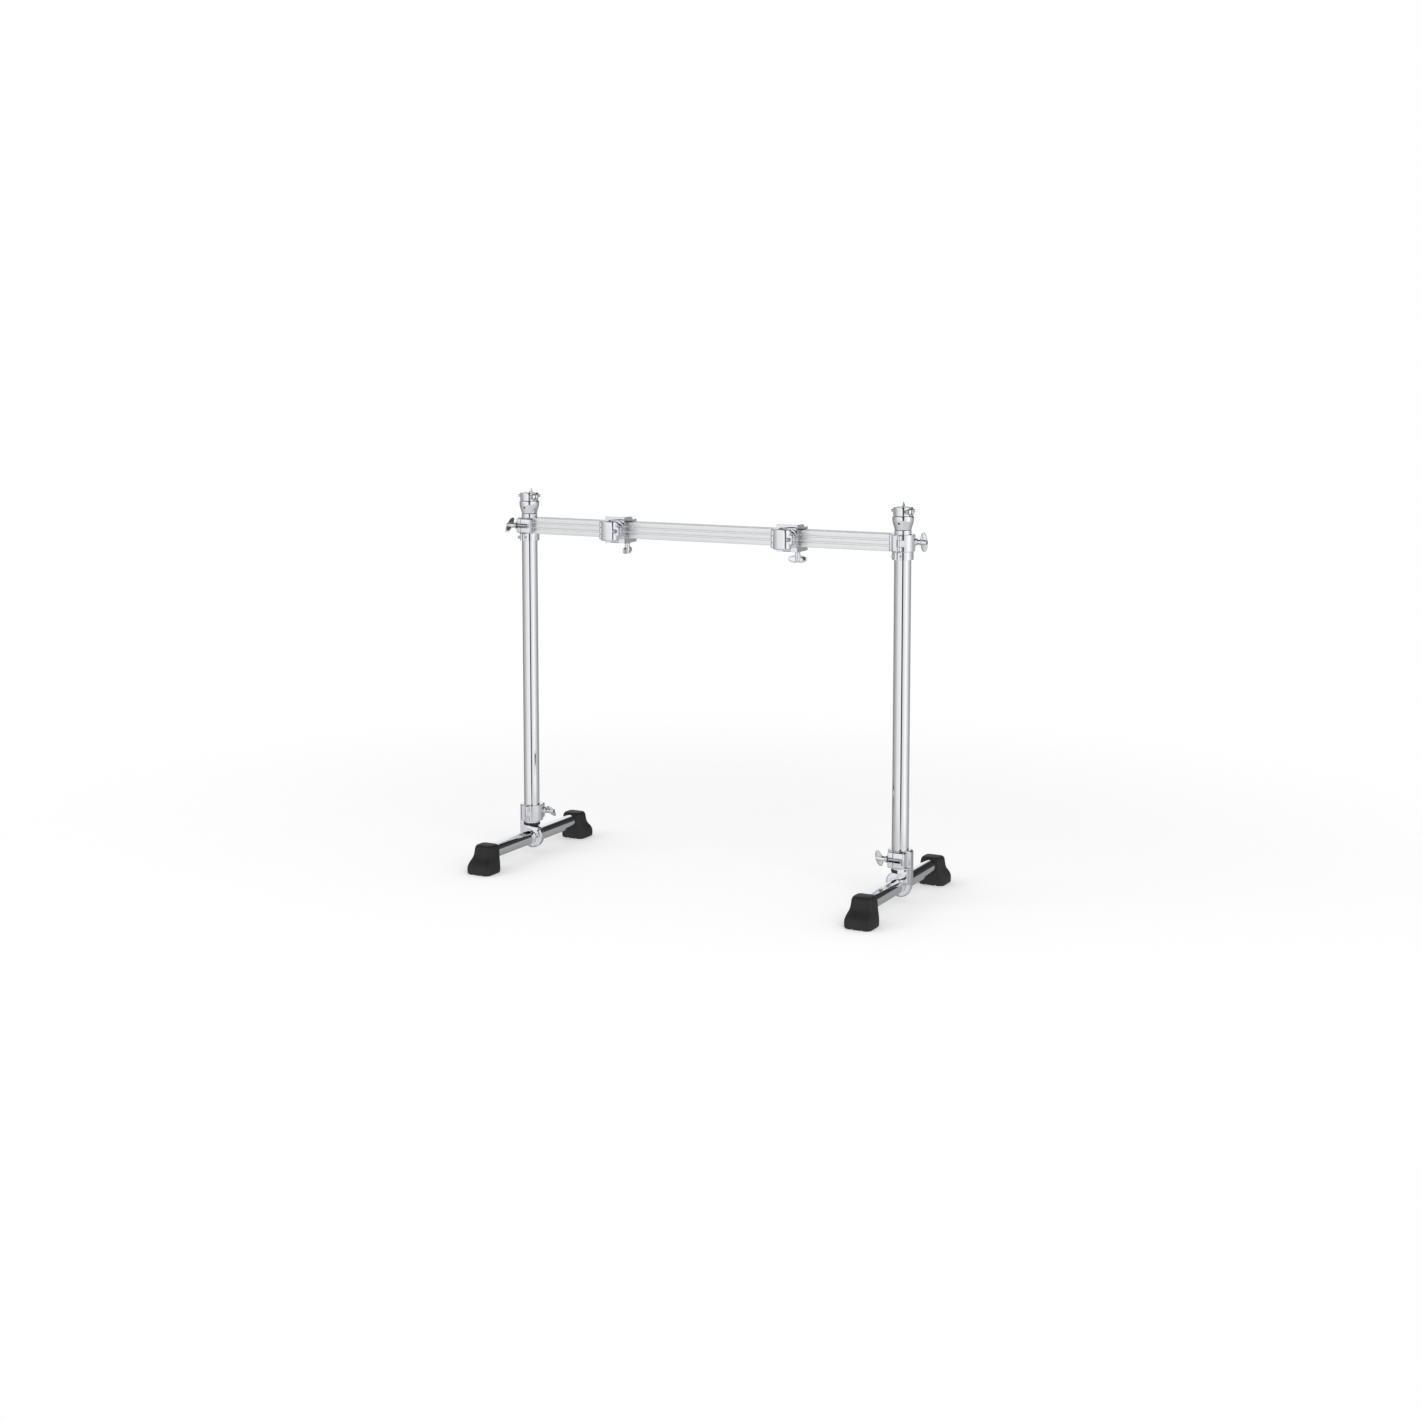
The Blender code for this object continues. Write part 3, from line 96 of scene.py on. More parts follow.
lens.shift_y = -0.1185
eye = bpy.data.objects.new("eye", lens)
eye.location = (2.2251, -4.1656, 1.2373)
eye.rotation_euler = (math.radians(90.0 - CAMERA_PITCH), 0.0, math.radians(CAMERA_TURN))
bpy.context.collection.objects.link(eye)
bpy.context.scene.camera = eye
bpy.context.scene.view_settings.view_transform = "Standard"


# Studio
# A plain white room: an even world light, one soft lamp on each side of the camera and a pale floor that keeps the
# rack's shadow and fades into the white further out. A light tent round it all is seen in reflections only.
def add(tree, kind, links=None, **settings):
    """Adds a node, sets its properties and sockets, and links the named inputs."""
    made = tree.nodes.new(kind)
    for name, value in settings.items():
        if hasattr(made, name):
            setattr(made, name, value)
        else:
            made.inputs[name.replace("_", " ")].default_value = value
    for name, source in (links or {}).items():
        tree.links.new(source, made.inputs[name])
    return made


def colour(code):
    """A hex colour as linear light."""
    parts = [int(code[i:i + 2], 16) / 255 for i in (1, 3, 5)]
    return (*[c / 12.92 if c <= 0.04045 else ((c + 0.055) / 1.055) ** 2.4 for c in parts], 1.0)


world = bpy.data.worlds.new("white_room")
bpy.context.scene.world = world
world.use_nodes = True
tree = world.node_tree
tree.nodes.clear()
# The rack is lit by a dimmer white than the one that the camera and the reflections see
path = add(tree, "ShaderNodeLightPath")
seen = add(tree, "ShaderNodeMath", {0: path.outputs["Is Camera Ray"], 1: path.outputs["Is Glossy Ray"]},
           operation="MAXIMUM")
shown = add(tree, "ShaderNodeMath", {0: seen.outputs[0], 1: path.outputs["Is Transmission Ray"]},
            operation="MAXIMUM")
fill = add(tree, "ShaderNodeBackground", Color=colour("#FFFFFF"), Strength=0.72)
white = add(tree, "ShaderNodeBackground", Color=colour("#FFFFFF"), Strength=1.0)
room = add(tree, "ShaderNodeMixShader", {0: shown.outputs[0], 1: fill.outputs[0], 2: white.outputs[0]})
add(tree, "ShaderNodeOutputWorld", {"Surface": room.outputs[0]})


def staged(name, work, material):
    """A piece of the studio round the rack."""
    mesh = bpy.data.meshes.new(name)
    work.to_mesh(mesh)
    work.free()
    mesh.materials.append(material)
    thing = bpy.data.objects.new(name, mesh)
    bpy.context.collection.objects.link(thing)
    thing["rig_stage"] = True
    return thing


def new_material(name):
    made = bpy.data.materials.new(name)
    made.use_nodes = True
    made.node_tree.nodes.clear()
    return made, made.node_tree


FLOOR_RADIUS = 3.0
FADE_START, FADE_END = 0.7, 0.8 * FLOOR_RADIUS
paper, tree = new_material("floor_paper")
place = add(tree, "ShaderNodeTexCoord").outputs["Object"]
distance = add(tree, "ShaderNodeVectorMath", {0: place}, operation="LENGTH")
fade = add(tree, "ShaderNodeMapRange", {"Value": distance.outputs["Value"]}, interpolation_type="SMOOTHSTEP",
           From_Min=FADE_START, From_Max=FADE_END)
pale = add(tree, "ShaderNodeBsdfDiffuse", Color=colour("#F8F8F8"))
path = add(tree, "ShaderNodeLightPath")
lift = add(tree, "ShaderNodeMath", {0: path.outputs["Is Camera Ray"]}, operation="MULTIPLY")
lift.inputs[1].default_value = 0.17
whiter = add(tree, "ShaderNodeEmission", {"Strength": lift.outputs[0]}, Color=colour("#FFFFFF"))
lit = add(tree, "ShaderNodeAddShader", {0: pale.outputs[0], 1: whiter.outputs[0]})
clear = add(tree, "ShaderNodeBsdfTransparent")
sheet = add(tree, "ShaderNodeMixShader", {0: fade.outputs[0], 1: lit.outputs[0], 2: clear.outputs[0]})
add(tree, "ShaderNodeOutputMaterial", {"Surface": sheet.outputs[0]})
work = bmesh.new()
bmesh.ops.create_circle(work, cap_ends=True, segments=96, radius=FLOOR_RADIUS)
floor = staged("floor", work, paper)
floor.visible_glossy = False

# What the bright metal mirrors: soft panels towards the camera, a narrow dark gap where the camera stands, a dim back
# and a dark ceiling
TENT_RADIUS = 9.0
CAMERA_SIDE = 28.0
tent, tree = new_material("light_tent")
place = add(tree, "ShaderNodeTexCoord").outputs["Object"]
turn = add(tree, "ShaderNodeMapping", {"Vector": place}, Rotation=(0.0, 0.0, math.radians(90.0 - CAMERA_SIDE)))
split = add(tree, "ShaderNodeSeparateXYZ", {"Vector": turn.outputs[0]})
around = add(tree, "ShaderNodeMath", {0: split.outputs["Y"], 1: split.outputs["X"]}, operation="ARCTAN2")
angle = add(tree, "ShaderNodeMapRange", {"Value": around.outputs[0]}, From_Min=-math.pi, From_Max=math.pi)
height = add(tree, "ShaderNodeMapRange", {"Value": split.outputs["Z"]}, From_Min=-TENT_RADIUS, From_Max=TENT_RADIUS)


def ramp(tree, value, stops, low, high):
    """A smooth ramp of grey levels; the stops are (place, level) between low and high."""
    made = add(tree, "ShaderNodeValToRGB")
    made.color_ramp.interpolation = "EASE"
    tree.links.new(value, made.inputs[0])
    points = made.color_ramp.elements
    points.remove(points[-1])
    for i, (position, level) in enumerate(stops):
        point = points[0] if i == 0 else points.new(1.0)
        point.position = (position - low) / (high - low)
        point.color = (level, level, level, 1.0)
    return made


# Levels by the angle from the camera in degrees, 0 being where it stands
low_walls = ramp(tree, angle.outputs[0], (
    (-179, 0.90), (-162, 0.75), (-150, 0.28), (-134, 0.28), (-100, 0.48), (-76, 0.68), (-54, 0.96), (-35, 0.98),
    (-17, 1.12), (-10, 0.95), (-6, 0.04), (6, 0.04), (10, 0.75), (17, 0.84), (35, 1.04), (55, 1.25), (76, 0.88),
    (100, 0.54), (134, 0.32), (150, 0.30), (162, 0.75), (179, 0.90)), -180, 180)
near_floor = ramp(tree, angle.outputs[0], (
    (-178, 0.32), (-134, 0.32), (-100, 0.50), (-54, 0.74), (-17, 0.80), (17, 0.72), (55, 0.74), (100, 0.52),
    (134, 0.36), (178, 0.32)), -180, 180)
high_walls = ramp(tree, angle.outputs[0], (
    (-179, 1.00), (-166, 0.95), (-150, 0.36), (-130, 0.34), (-95, 0.55), (-60, 1.05), (-16, 1.10), (-8, 0.05),
    (8, 0.05), (16, 1.10), (60, 1.25), (90, 0.60), (112, 0.07), (140, 0.03), (155, 0.05), (166, 0.95),
    (179, 1.00)), -180, 180)
# Where one gives way to the next, by the height as a share of the tent's radius
raised = ramp(tree, height.outputs[0], ((-1.0, 0.0), (0.06, 0.0), (0.11, 1.0), (1.0, 1.0)), -1, 1)
overhead = ramp(tree, height.outputs[0], ((-1.0, 0.0), (0.62, 0.0), (0.75, 1.0), (1.0, 1.0)), -1, 1)
on_floor = ramp(tree, height.outputs[0], ((-1.0, 1.0), (-0.23, 1.0), (-0.19, 0.0), (1.0, 0.0)), -1, 1)
ground = add(tree, "ShaderNodeMixRGB", {
    "Fac": on_floor.outputs[0], "Color1": low_walls.outputs[0], "Color2": near_floor.outputs[0]})
walls = add(tree, "ShaderNodeMixRGB", {
    "Fac": raised.outputs[0], "Color1": ground.outputs[0], "Color2": high_walls.outputs[0]})
CEILING = (0.10, 0.10, 0.10, 1.0)
sky = add(tree, "ShaderNodeMixRGB", {"Fac": overhead.outputs[0], "Color1": walls.outputs[0]}, Color2=CEILING)
glow = add(tree, "ShaderNodeEmission", {"Color": sky.outputs[0]}, Strength=1.0)
add(tree, "ShaderNodeOutputMaterial", {"Surface": glow.outputs[0]})
work = bmesh.new()
bmesh.ops.create_uvsphere(work, u_segments=64, v_segments=32, radius=TENT_RADIUS)
shell = staged("light_tent", work, tent)
shell.visible_camera = False
shell.visible_diffuse = False
shell.visible_transmission = False
shell.visible_shadow = False

LAMP_SIDE = 2.4
LAMP_AIM = Vector((0, 0, 0.4))
for name, spot, power in (("lamp_right", (3.2, -2.6, 3.0), 42.0), ("lamp_left", (-2.8, -3.0, 2.6), 26.0)):
    lamp = bpy.data.lights.new(name, "AREA")
    lamp.shape = "SQUARE"
    lamp.size = LAMP_SIDE
    lamp.energy = power
    holder = bpy.data.objects.new(name, lamp)
    holder.location = spot
    holder.rotation_euler = (LAMP_AIM - Vector(spot)).to_track_quat("-Z", "Y").to_euler()
    holder.visible_glossy = False
    bpy.context.collection.objects.link(holder)


# Foot tubes
# Straight lengths of drawn steel tube, polished and chrome plated. One lies across the foot of each post and is
# gripped by the tee clamp's ring.
def noise(tree, vector, scale, detail):
    return add(tree, "ShaderNodeTexNoise", {"Vector": vector}, Scale=scale, Detail=detail).outputs["Fac"]


def spread(tree, share, low, high):
    """A share from 0 to 1 as a value between two limits."""
    return add(tree, "ShaderNodeMapRange", {"Value": share}, To_Min=low, To_Max=high).outputs[0]


def surface(tree, links, **settings):
    """The material's shader, linked to its output."""
    shader = add(tree, "ShaderNodeBsdfPrincipled", links, **settings)
    add(tree, "ShaderNodeOutputMaterial", {"Surface": shader.outputs[0]})


def chrome_finish(name, drawn):
    """Bright chrome on a polished casting or on drawn tube: a mirror with a faint haze and soft edges."""
    made, tree = new_material(name)
    place = add(tree, "ShaderNodeTexCoord").outputs["Object"]
    # Buffing leaves a haze in patches some 30 mm across, and a long grain where the tube was drawn
    stretch = add(tree, "ShaderNodeMapping", {"Vector": place}, Scale=drawn).outputs[0]
    haze = noise(tree, stretch, 33.0, 3.0)
    # Orange peel of the plate, about 1.5 mm from crest to crest
    peel = noise(tree, stretch, 660.0, 1.0)
    edge = add(tree, "ShaderNodeBevel", Radius=0.0010, samples=4)
    bump = add(tree, "ShaderNodeBump", {"Height": peel, "Normal": edge.outputs[0]}, Strength=0.25, Distance=0.000004)
    surface(tree, {"Roughness": spread(tree, haze, 0.03, 0.075), "Normal": bump.outputs[0]},
            Base_Color=colour("#E6E8EB"), Metallic=1.0)
    return made


def grown(tree, **sizes):
    """The plain mesh that a Geometry Nodes tree makes for these sizes."""
    seed = bpy.data.objects.new("seed", bpy.data.meshes.new("seed"))
    bpy.context.collection.objects.link(seed)
    step = seed.modifiers.new("grow", "NODES")
    step.node_group = tree
    for item in tree.interface.items_tree:
        if item.in_out == "INPUT" and item.name in sizes:
            step[item.identifier] = sizes[item.name]
    graph = bpy.context.evaluated_depsgraph_get()
    mesh = bpy.data.meshes.new_from_object(seed.evaluated_get(graph))
    bpy.data.objects.remove(seed)
    return mesh


def new_tree(name, *sizes):
    tree = bpy.data.node_groups.new(name, "GeometryNodeTree")
    for size in sizes:
        tree.interface.new_socket(size, in_out="INPUT", socket_type="NodeSocketFloat")
    tree.interface.new_socket("Geometry", in_out="OUTPUT", socket_type="NodeSocketGeometry")
    return tree, add(tree, "NodeGroupInput")


def end_tree(tree, geometry, material):
    real = add(tree, "GeometryNodeRealizeInstances", {"Geometry": geometry})
    dressed = add(tree, "GeometryNodeSetMaterial", {"Geometry": real.outputs[0]}, Material=material)
    add(tree, "NodeGroupOutput", {"Geometry": dressed.outputs[0]})


SHARP_ANGLE = math.radians(38)


def carried(name, mesh, body, material=None):
    """A finished piece on a body, shaded smooth up to its real edges."""
    thing = bpy.data.objects.new(name, mesh)
    bpy.context.collection.objects.link(thing)
    if material:
        mesh.materials.clear()
        mesh.materials.append(material)
    mesh.shade_smooth()
    mesh.set_sharp_from_angle(angle=SHARP_ANGLE)
    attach(thing, body)
    return thing


def stands_for(node, name, mesh, material=None):
    """A finer piece in the place of one solid."""
    thing = carried(name, mesh, frame["nodes"][node]["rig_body"], material)
    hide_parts(node)
    return thing


def shift(x, y, z):
    return Matrix.Translation((x, y, z))


def quarter_turn(axis):
    return Matrix.Rotation(math.pi / 2, 4, axis)


tube_chrome = chrome_finish("chrome_plated_drawn_tube", (1.0, 1.0, 0.06))
cast_chrome = chrome_finish("chrome_plated_casting", (1.0, 1.0, 1.0))
drawn_tube, given = new_tree("drawn_tube", "Length", "Diameter", "Wall")
inner = add(drawn_tube, "ShaderNodeMath", {0: given.outputs["Diameter"], 1: given.outputs["Wall"]},
            operation="SUBTRACT")
middle = add(drawn_tube, "ShaderNodeMath", {0: inner.outputs[0]}, operation="MULTIPLY")
middle.inputs[1].default_value = 0.5
round_path = add(drawn_tube, "GeometryNodeCurvePrimitiveCircle", {"Radius": middle.outputs[0]}, Resolution=96)
section = add(drawn_tube, "GeometryNodeCurvePrimitiveQuadrilateral",
              {"Width": given.outputs["Wall"], "Height": given.outputs["Length"]})
wall = add(drawn_tube, "GeometryNodeCurveToMesh",
           {"Curve": round_path.outputs[0], "Profile Curve": section.outputs[0]})
end_tree(drawn_tube, wall.outputs[0], tube_chrome)

SIDES = (("left", -1), ("right", 1))
FOOT_TUBE_DIAMETER = 0.035
TUBE_WALL = 0.0015
for side, sign in SIDES:
    low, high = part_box(f"{side}_foot_tube")
    mesh = grown(drawn_tube, Length=high.y - low.y, Diameter=FOOT_TUBE_DIAMETER, Wall=TUBE_WALL)
    mesh.transform(Matrix.Translation((low + high) / 2) @ quarter_turn("X"))
    stands_for(f"{side}_foot_tube", f"{side}_foot_tube_drawn", mesh)


# Rubber feet
# Moulded black rubber boots pushed over the tubes' ends: a hood round the tube on a wider base that reaches out past
# the end, with grooves in the tread.
def rounded(left, right, low, high, corner, steps):
    """Points of a rectangle with round corners, anticlockwise."""
    points = []
    centres = ((right - corner, high - corner), (left + corner, high - corner),
               (left + corner, low + corner), (right - corner, low + corner))
    for quarter, (x, y) in enumerate(centres):
        for i in range(steps + 1):
            angle = math.pi / 2 * (quarter + i / steps)
            points.append((x + corner * math.cos(angle), y + corner * math.sin(angle)))
    return points


def to_mesh(work):
    bmesh.ops.recalc_face_normals(work, faces=work.faces)
    mesh = bpy.data.meshes.new("piece")
    work.to_mesh(mesh)
    work.free()
    return mesh


def loft(rings):
    """A closed skin through a stack of outlines with the same number of points."""
    work = bmesh.new()
    loops = [[work.verts.new(point) for point in ring] for ring in rings]
    for lower, upper in zip(loops, loops[1:]):
        for i in range(len(lower)):
            j = (i + 1) % len(lower)
            work.faces.new((lower[i], lower[j], upper[j], upper[i]))
    work.faces.new(list(reversed(loops[0])))
    work.faces.new(loops[-1])
    return to_mesh(work)


def combined(mesh, operation, tools):
    """The mesh with the tools joined on or cut away in one step."""
    group = bpy.data.collections.new("tools")
    things = [bpy.data.objects.new("tool", tool) for tool in tools]
    for thing in things:
        group.objects.link(thing)
    body = bpy.data.objects.new("body", mesh)
    bpy.context.collection.objects.link(body)
    step = body.modifiers.new("combine", "BOOLEAN")
    step.operation = operation
    step.solver = "EXACT"
    step.operand_type = "COLLECTION"
    step.collection = group
    graph = bpy.context.evaluated_depsgraph_get()
    result = bpy.data.meshes.new_from_object(body.evaluated_get(graph))
    for thing in (*things, body):
        bpy.data.objects.remove(thing)
    bpy.data.collections.remove(group)
    return result


def joined(mesh, *tools):
    return combined(mesh, "UNION", tools)


def cut(mesh, *tools):
    return combined(mesh, "DIFFERENCE", tools)


def placed(mesh, matrix):
    copy = mesh.copy()
    copy.transform(matrix)
    return copy


def turned(profile, sides=96):
    """A closed outline of (radius, height) points turned about Z, or an open one from pole to pole."""
    work = bmesh.new()
    points = [work.verts.new((radius, 0.0, height)) for radius, height in profile]
    ends = points[1:] if profile[0][0] == 0 else points[1:] + points[:1]
    edges = [work.edges.new(pair) for pair in zip(points, ends)]
    bmesh.ops.spin(work, geom=points + edges, cent=(0, 0, 0), axis=(0, 0, 1), angle=2 * math.pi, steps=sides,
                   use_merge=True)
    bmesh.ops.remove_doubles(work, verts=work.verts, dist=1e-6)
    return to_mesh(work)


def towards(start, end):
    """The place and turn that lay the Z axis from one point to another."""
    start, end = Vector(start), Vector(end)
    turn = Vector((0, 0, 1)).rotation_difference(end - start).to_matrix().to_4x4()
    return Matrix.Translation(start) @ turn


def rod(radius, start, end, edge=0.0, sides=64):
    """A round bar between two points with chamfered ends."""
    length = (Vector(end) - Vector(start)).length
    profile = [(0, 0), (radius - edge, 0), (radius, edge), (radius, length - edge), (radius - edge, length),
               (0, length)]
    return placed(turned(profile, sides), towards(start, end))


def block(low, high, edge=0.0, steps=3):
    """A box with its edges rounded."""
    low, high = Vector(low), Vector(high)
    work = bmesh.new()
    bmesh.ops.create_cube(work, size=1.0)
    bmesh.ops.scale(work, vec=high - low, verts=work.verts)
    bmesh.ops.translate(work, vec=(high + low) / 2, verts=work.verts)
    if edge:
        bmesh.ops.bevel(work, geom=work.edges[:], offset=edge, segments=steps, profile=0.5, affect="EDGES")
    return to_mesh(work)


# FAR lies beyond any casting, so a cut that runs to it goes right through
FAR = 0.2
HALF_SPACING = 0.488
FOOT_TUBE_HEIGHT = 0.045
FOOT_REACH = 0.2095
RUBBER_HEIGHT = 0.0665
RUBBER_CORNER = 0.013
BASE_HALF, HOOD_HALF = 0.0325, 0.0255
BASE_OUT, HOOD_OUT = 0.031, 0.010
BASE_IN, HOOD_IN = 0.0295, 0.036
TREAD_PLACES = ((0.0115, 0.0105), (-0.0115, -0.0105))
TREAD_HALF, TREAD_EDGE = 0.003, 0.0008
LENGTHWAYS_DEPTH, CROSSWAYS_DEPTH = 0.0026, 0.0029

rubber, tree = new_material("moulded_black_rubber")
# Spark-eroded mould grain of about 1 mm, drawn a little coarser than it is, and a bloom in large soft patches
place = add(tree, "ShaderNodeTexCoord").outputs["Object"]
bloom = noise(tree, place, 28.0, 3.0)
dust = ramp(tree, bloom, ((0.3, 0.0), (0.75, 1.0)), 0, 1)
skin = add(tree, "ShaderNodeMixRGB", {"Fac": dust.outputs[0]}, Color1=colour("#151516"), Color2=colour("#1E1E1F"))
bump = add(tree, "ShaderNodeBump", {"Height": noise(tree, place, 850.0, 3.0)}, Strength=0.5, Distance=0.0003)
surface(tree, {"Base Color": skin.outputs[0], "Roughness": spread(tree, bloom, 0.50, 0.66),
               "Normal": bump.outputs[0]}, IOR=1.52)

# Share of the height, share of the way from base to hood, how much of the outline is left there
shape = ((0.0, 0.0, 0.91), (0.012, 0.0, 0.95), (0.04, 0.0, 0.985), (0.10, 0.0, 1.0), (0.20, 0.0, 1.0),
         (0.28, 0.04, 1.0), (0.36, 0.18, 1.0), (0.45, 0.42, 1.0), (0.54, 0.70, 1.0), (0.62, 0.88, 1.0),
         (0.72, 0.97, 0.995), (0.82, 1.0, 0.98), (0.89, 1.0, 0.955), (0.935, 1.0, 0.92), (0.97, 1.0, 0.87),
         (0.99, 1.0, 0.81), (1.0, 1.0, 0.73))
rings = []
for height, rise, share in shape:
    half = share * (BASE_HALF + (HOOD_HALF - BASE_HALF) * rise)
    outer = BASE_OUT + (HOOD_OUT - BASE_OUT) * rise - (1 - share) * BASE_OUT
    inner = BASE_IN + (HOOD_IN - BASE_IN) * rise - (1 - share) * BASE_OUT
    outline = rounded(-half, half, -inner, outer, min(RUBBER_CORNER, half * 0.45), 8)
    rings.append([(x, y, height * RUBBER_HEIGHT) for x, y in outline])
hole = rod(FOOT_TUBE_DIAMETER / 2 + 0.0003, (0, 0.001, FOOT_TUBE_HEIGHT), (0, -FAR, FOOT_TUBE_HEIGHT))
grooves = []
for x, y in TREAD_PLACES:
    grooves.append(block((x - TREAD_HALF, -FAR, -0.01), (x + TREAD_HALF, FAR, LENGTHWAYS_DEPTH), TREAD_EDGE))
    grooves.append(block((-FAR, y - TREAD_HALF, -0.01), (FAR, y + TREAD_HALF, CROSSWAYS_DEPTH), TREAD_EDGE))
boot = cut(loft(rings), hole, *grooves)
for side, sign in SIDES:
    for end, way in (("front", -1), ("back", 1)):
        turn = Matrix.Rotation(0.0 if way == 1 else math.pi, 4, "Z")
        spot = shift(sign * HALF_SPACING, way * FOOT_REACH, 0) @ turn
        stands_for(f"{side}_{end}_rubber_foot", f"{side}_{end}_boot", placed(boot, spot), rubber)


# Tee clamps
# Chrome plated castings: a ring on the foot tube, a spine and a split collar on the post, whose jaw turns on a zinc
# plated pin. Each casting is two closed shells, the collar and what hangs below it, and a blackened grub screw in the
# ring's lobe holds the tube.
zinc, tree = new_material("zinc_plated_steel")
# Barrel plating leaves a duller, slightly blue grey with faint clouds of a few millimetres
place = add(tree, "ShaderNodeTexCoord").outputs["Object"]
clouds = noise(tree, place, 240.0, 4.0)
tint = add(tree, "ShaderNodeMixRGB", {"Fac": clouds}, Color1=colour("#A9ABAF"), Color2=colour("#C3C5C8"))
surface(tree, {"Base Color": tint.outputs[0], "Roughness": spread(tree, clouds, 0.18, 0.34)}, Metallic=1.0)

blackened, tree = new_material("blackened_steel_screw")
# Oil-blackened socket screws: near black with a dull sheen and worn, slightly paler spots
place = add(tree, "ShaderNodeTexCoord").outputs["Object"]
spots = noise(tree, place, 900.0, 2.0)
tint = add(tree, "ShaderNodeMixRGB", {"Fac": spots}, Color1=colour("#19191A"), Color2=colour("#343436"))
surface(tree, {"Base Color": tint.outputs[0]}, Metallic=0.6, Roughness=0.42)

# The collar, also used for the bar ends: its hinge lies at -Y, its bolt at +Y and its split along Y
TEE_HEIGHT = 0.1061
TEE_LENGTH = 0.040
COLLAR_BORE, COLLAR_RADIUS, COLLAR_EDGE = 0.01935, 0.02705, 0.0009
SPLIT_FIXED, SPLIT_SWING = 0.002, 0.0044
COLLAR_HINGE = (0.0032, -0.02585)
KNUCKLE_RADIUS, KNUCKLE_GAP = 0.0055, 0.0006
ROOT_OUT, ROOT_IN, ROOT_SHORT = -0.0266, -0.0207, 0.0003
TONGUE_HALF = 0.0075
PIN_RADIUS, PIN_EDGE, PIN_HOLE = 0.0025, 0.0005, 0.0028
LUG_START, LUG_SHORT, LUG_EDGE = 0.008, 0.0015, 0.0035
BOLT_LINE, BOLT_SETBACK, SLOT_HALF = 0.02705, 0.015, 0.005
POCKET_RADIUS, POCKET_FLOOR = 0.0053, -0.0123


def casting(node, name, mesh):
    return stands_for(node, name, mesh, cast_chrome)


def zinced(node, name, mesh):
    return stands_for(node, name, mesh, zinc)


def eased(outline, reach, steps=4):
    """The same closed outline with its corners rounded."""
    points = []
    count = len(outline)
    for i in range(count):
        before, corner, after = (Vector(outline[(i + k) % count]) for k in (-1, 0, 1))
        room = min(reach, 0.48 * (before - corner).length, 0.48 * (after - corner).length)
        start = corner + (before - corner).normalized() * room
        end = corner + (after - corner).normalized() * room
        for k in range(steps + 1):
            share = k / steps
            points.append(tuple(start.lerp(corner, share).lerp(corner.lerp(end, share), share)))
    return points


def plate(outline, bottom, top, edge=0.0, steps=2):
    """A flat outline in XY between two heights, with both its rims rounded."""
    work = bmesh.new()
    face = work.faces.new([work.verts.new((x, y, bottom)) for x, y in outline])
    grown_part = bmesh.ops.extrude_face_region(work, geom=[face])
    raised = [part for part in grown_part["geom"] if isinstance(part, bmesh.types.BMVert)]
    bmesh.ops.translate(work, vec=(0, 0, top - bottom), verts=raised)
    if edge:
        rims = [e for e in work.edges if abs(e.verts[0].co.z - e.verts[1].co.z) < 1e-7]
        bmesh.ops.bevel(work, geom=rims, offset=edge, segments=steps, profile=0.5, affect="EDGES")
    return to_mesh(work)


def domed(outline, centre, half, edge, reach, steps=6):
    """A plate about z = 0 whose rims are rounded by drawing its outline in towards a centre."""
    rim = []
    for k in range(steps + 1):
        turn = math.pi / 2 * k / steps
        rim.append((half - edge * (1 - math.cos(turn)), 1 - edge / reach * (1 - math.sin(turn))))
    rings = []
    for height, share in (*[(-h, s) for h, s in rim], *reversed(rim)):
        rings.append([(*(Vector(centre) + (Vector(point) - Vector(centre)) * share), height) for point in outline])
    return loft(rings)


def one_mesh(*parts):
    work = bmesh.new()
    for part in parts:
        work.from_mesh(part)
    return to_mesh(work)


def upright(radius, x, y, low, high, edge=0.0, sides=64):
    return rod(radius, (x, y, low), (x, y, high), edge, sides)


def lugged(half, near, far, front):
    """The whole collar with a bolt lug from near to far along X."""
    lug = block((near, LUG_START, LUG_SHORT - half), (far, front, half - LUG_SHORT), LUG_EDGE, 5)
    return joined(upright(COLLAR_RADIUS, 0, 0, -half, half, COLLAR_EDGE, 96), lug)


def knuckled(made, top, near, far, edge):
    """The piece with its hinge knuckle and the knuckle's root from near to far along X."""
    root = block((near, ROOT_OUT, ROOT_SHORT - top), (far, ROOT_IN, top - ROOT_SHORT))
    return joined(made, upright(KNUCKLE_RADIUS, *COLLAR_HINGE, -top, top, edge, 48), root)


def fixed_half(length, extras=(), flat_back=None):
    """The collar's half that is one with the casting, with the bolt's pocket and the hinge's two ears."""
    half = length / 2
    made = lugged(half, -0.023, 0.010, 0.03535)
    if flat_back:
        made = cut(made, block((-FAR, -FAR, -FAR), (-flat_back, FAR, FAR)))
    if extras:
        made = joined(made, *extras)
    made = cut(made, block((SPLIT_FIXED, -FAR, -half - 0.01), (FAR, FAR, half + 0.01)))
    made = knuckled(made, half - 0.002, -0.012, 0.0030, 0.0006)
    room = TONGUE_HALF + 0.0003
    return cut(
        made,
        block((-0.0035, -FAR, -room), (FAR, -0.01735, room)),
        upright(COLLAR_BORE, 0, 0, -length, length, 0, 96),
        block((0.0007 - BOLT_SETBACK, BOLT_LINE - SLOT_HALF, -SLOT_HALF), (FAR, FAR, SLOT_HALF)),
        block((-BOLT_SETBACK - SLOT_HALF, BOLT_LINE + 0.002, -SLOT_HALF), (0, FAR, SLOT_HALF)),
        upright(POCKET_RADIUS, -BOLT_SETBACK, BOLT_LINE, POCKET_FLOOR, length, 0, 48),
        upright(PIN_HOLE, *COLLAR_HINGE, -length, length, 0, 32))


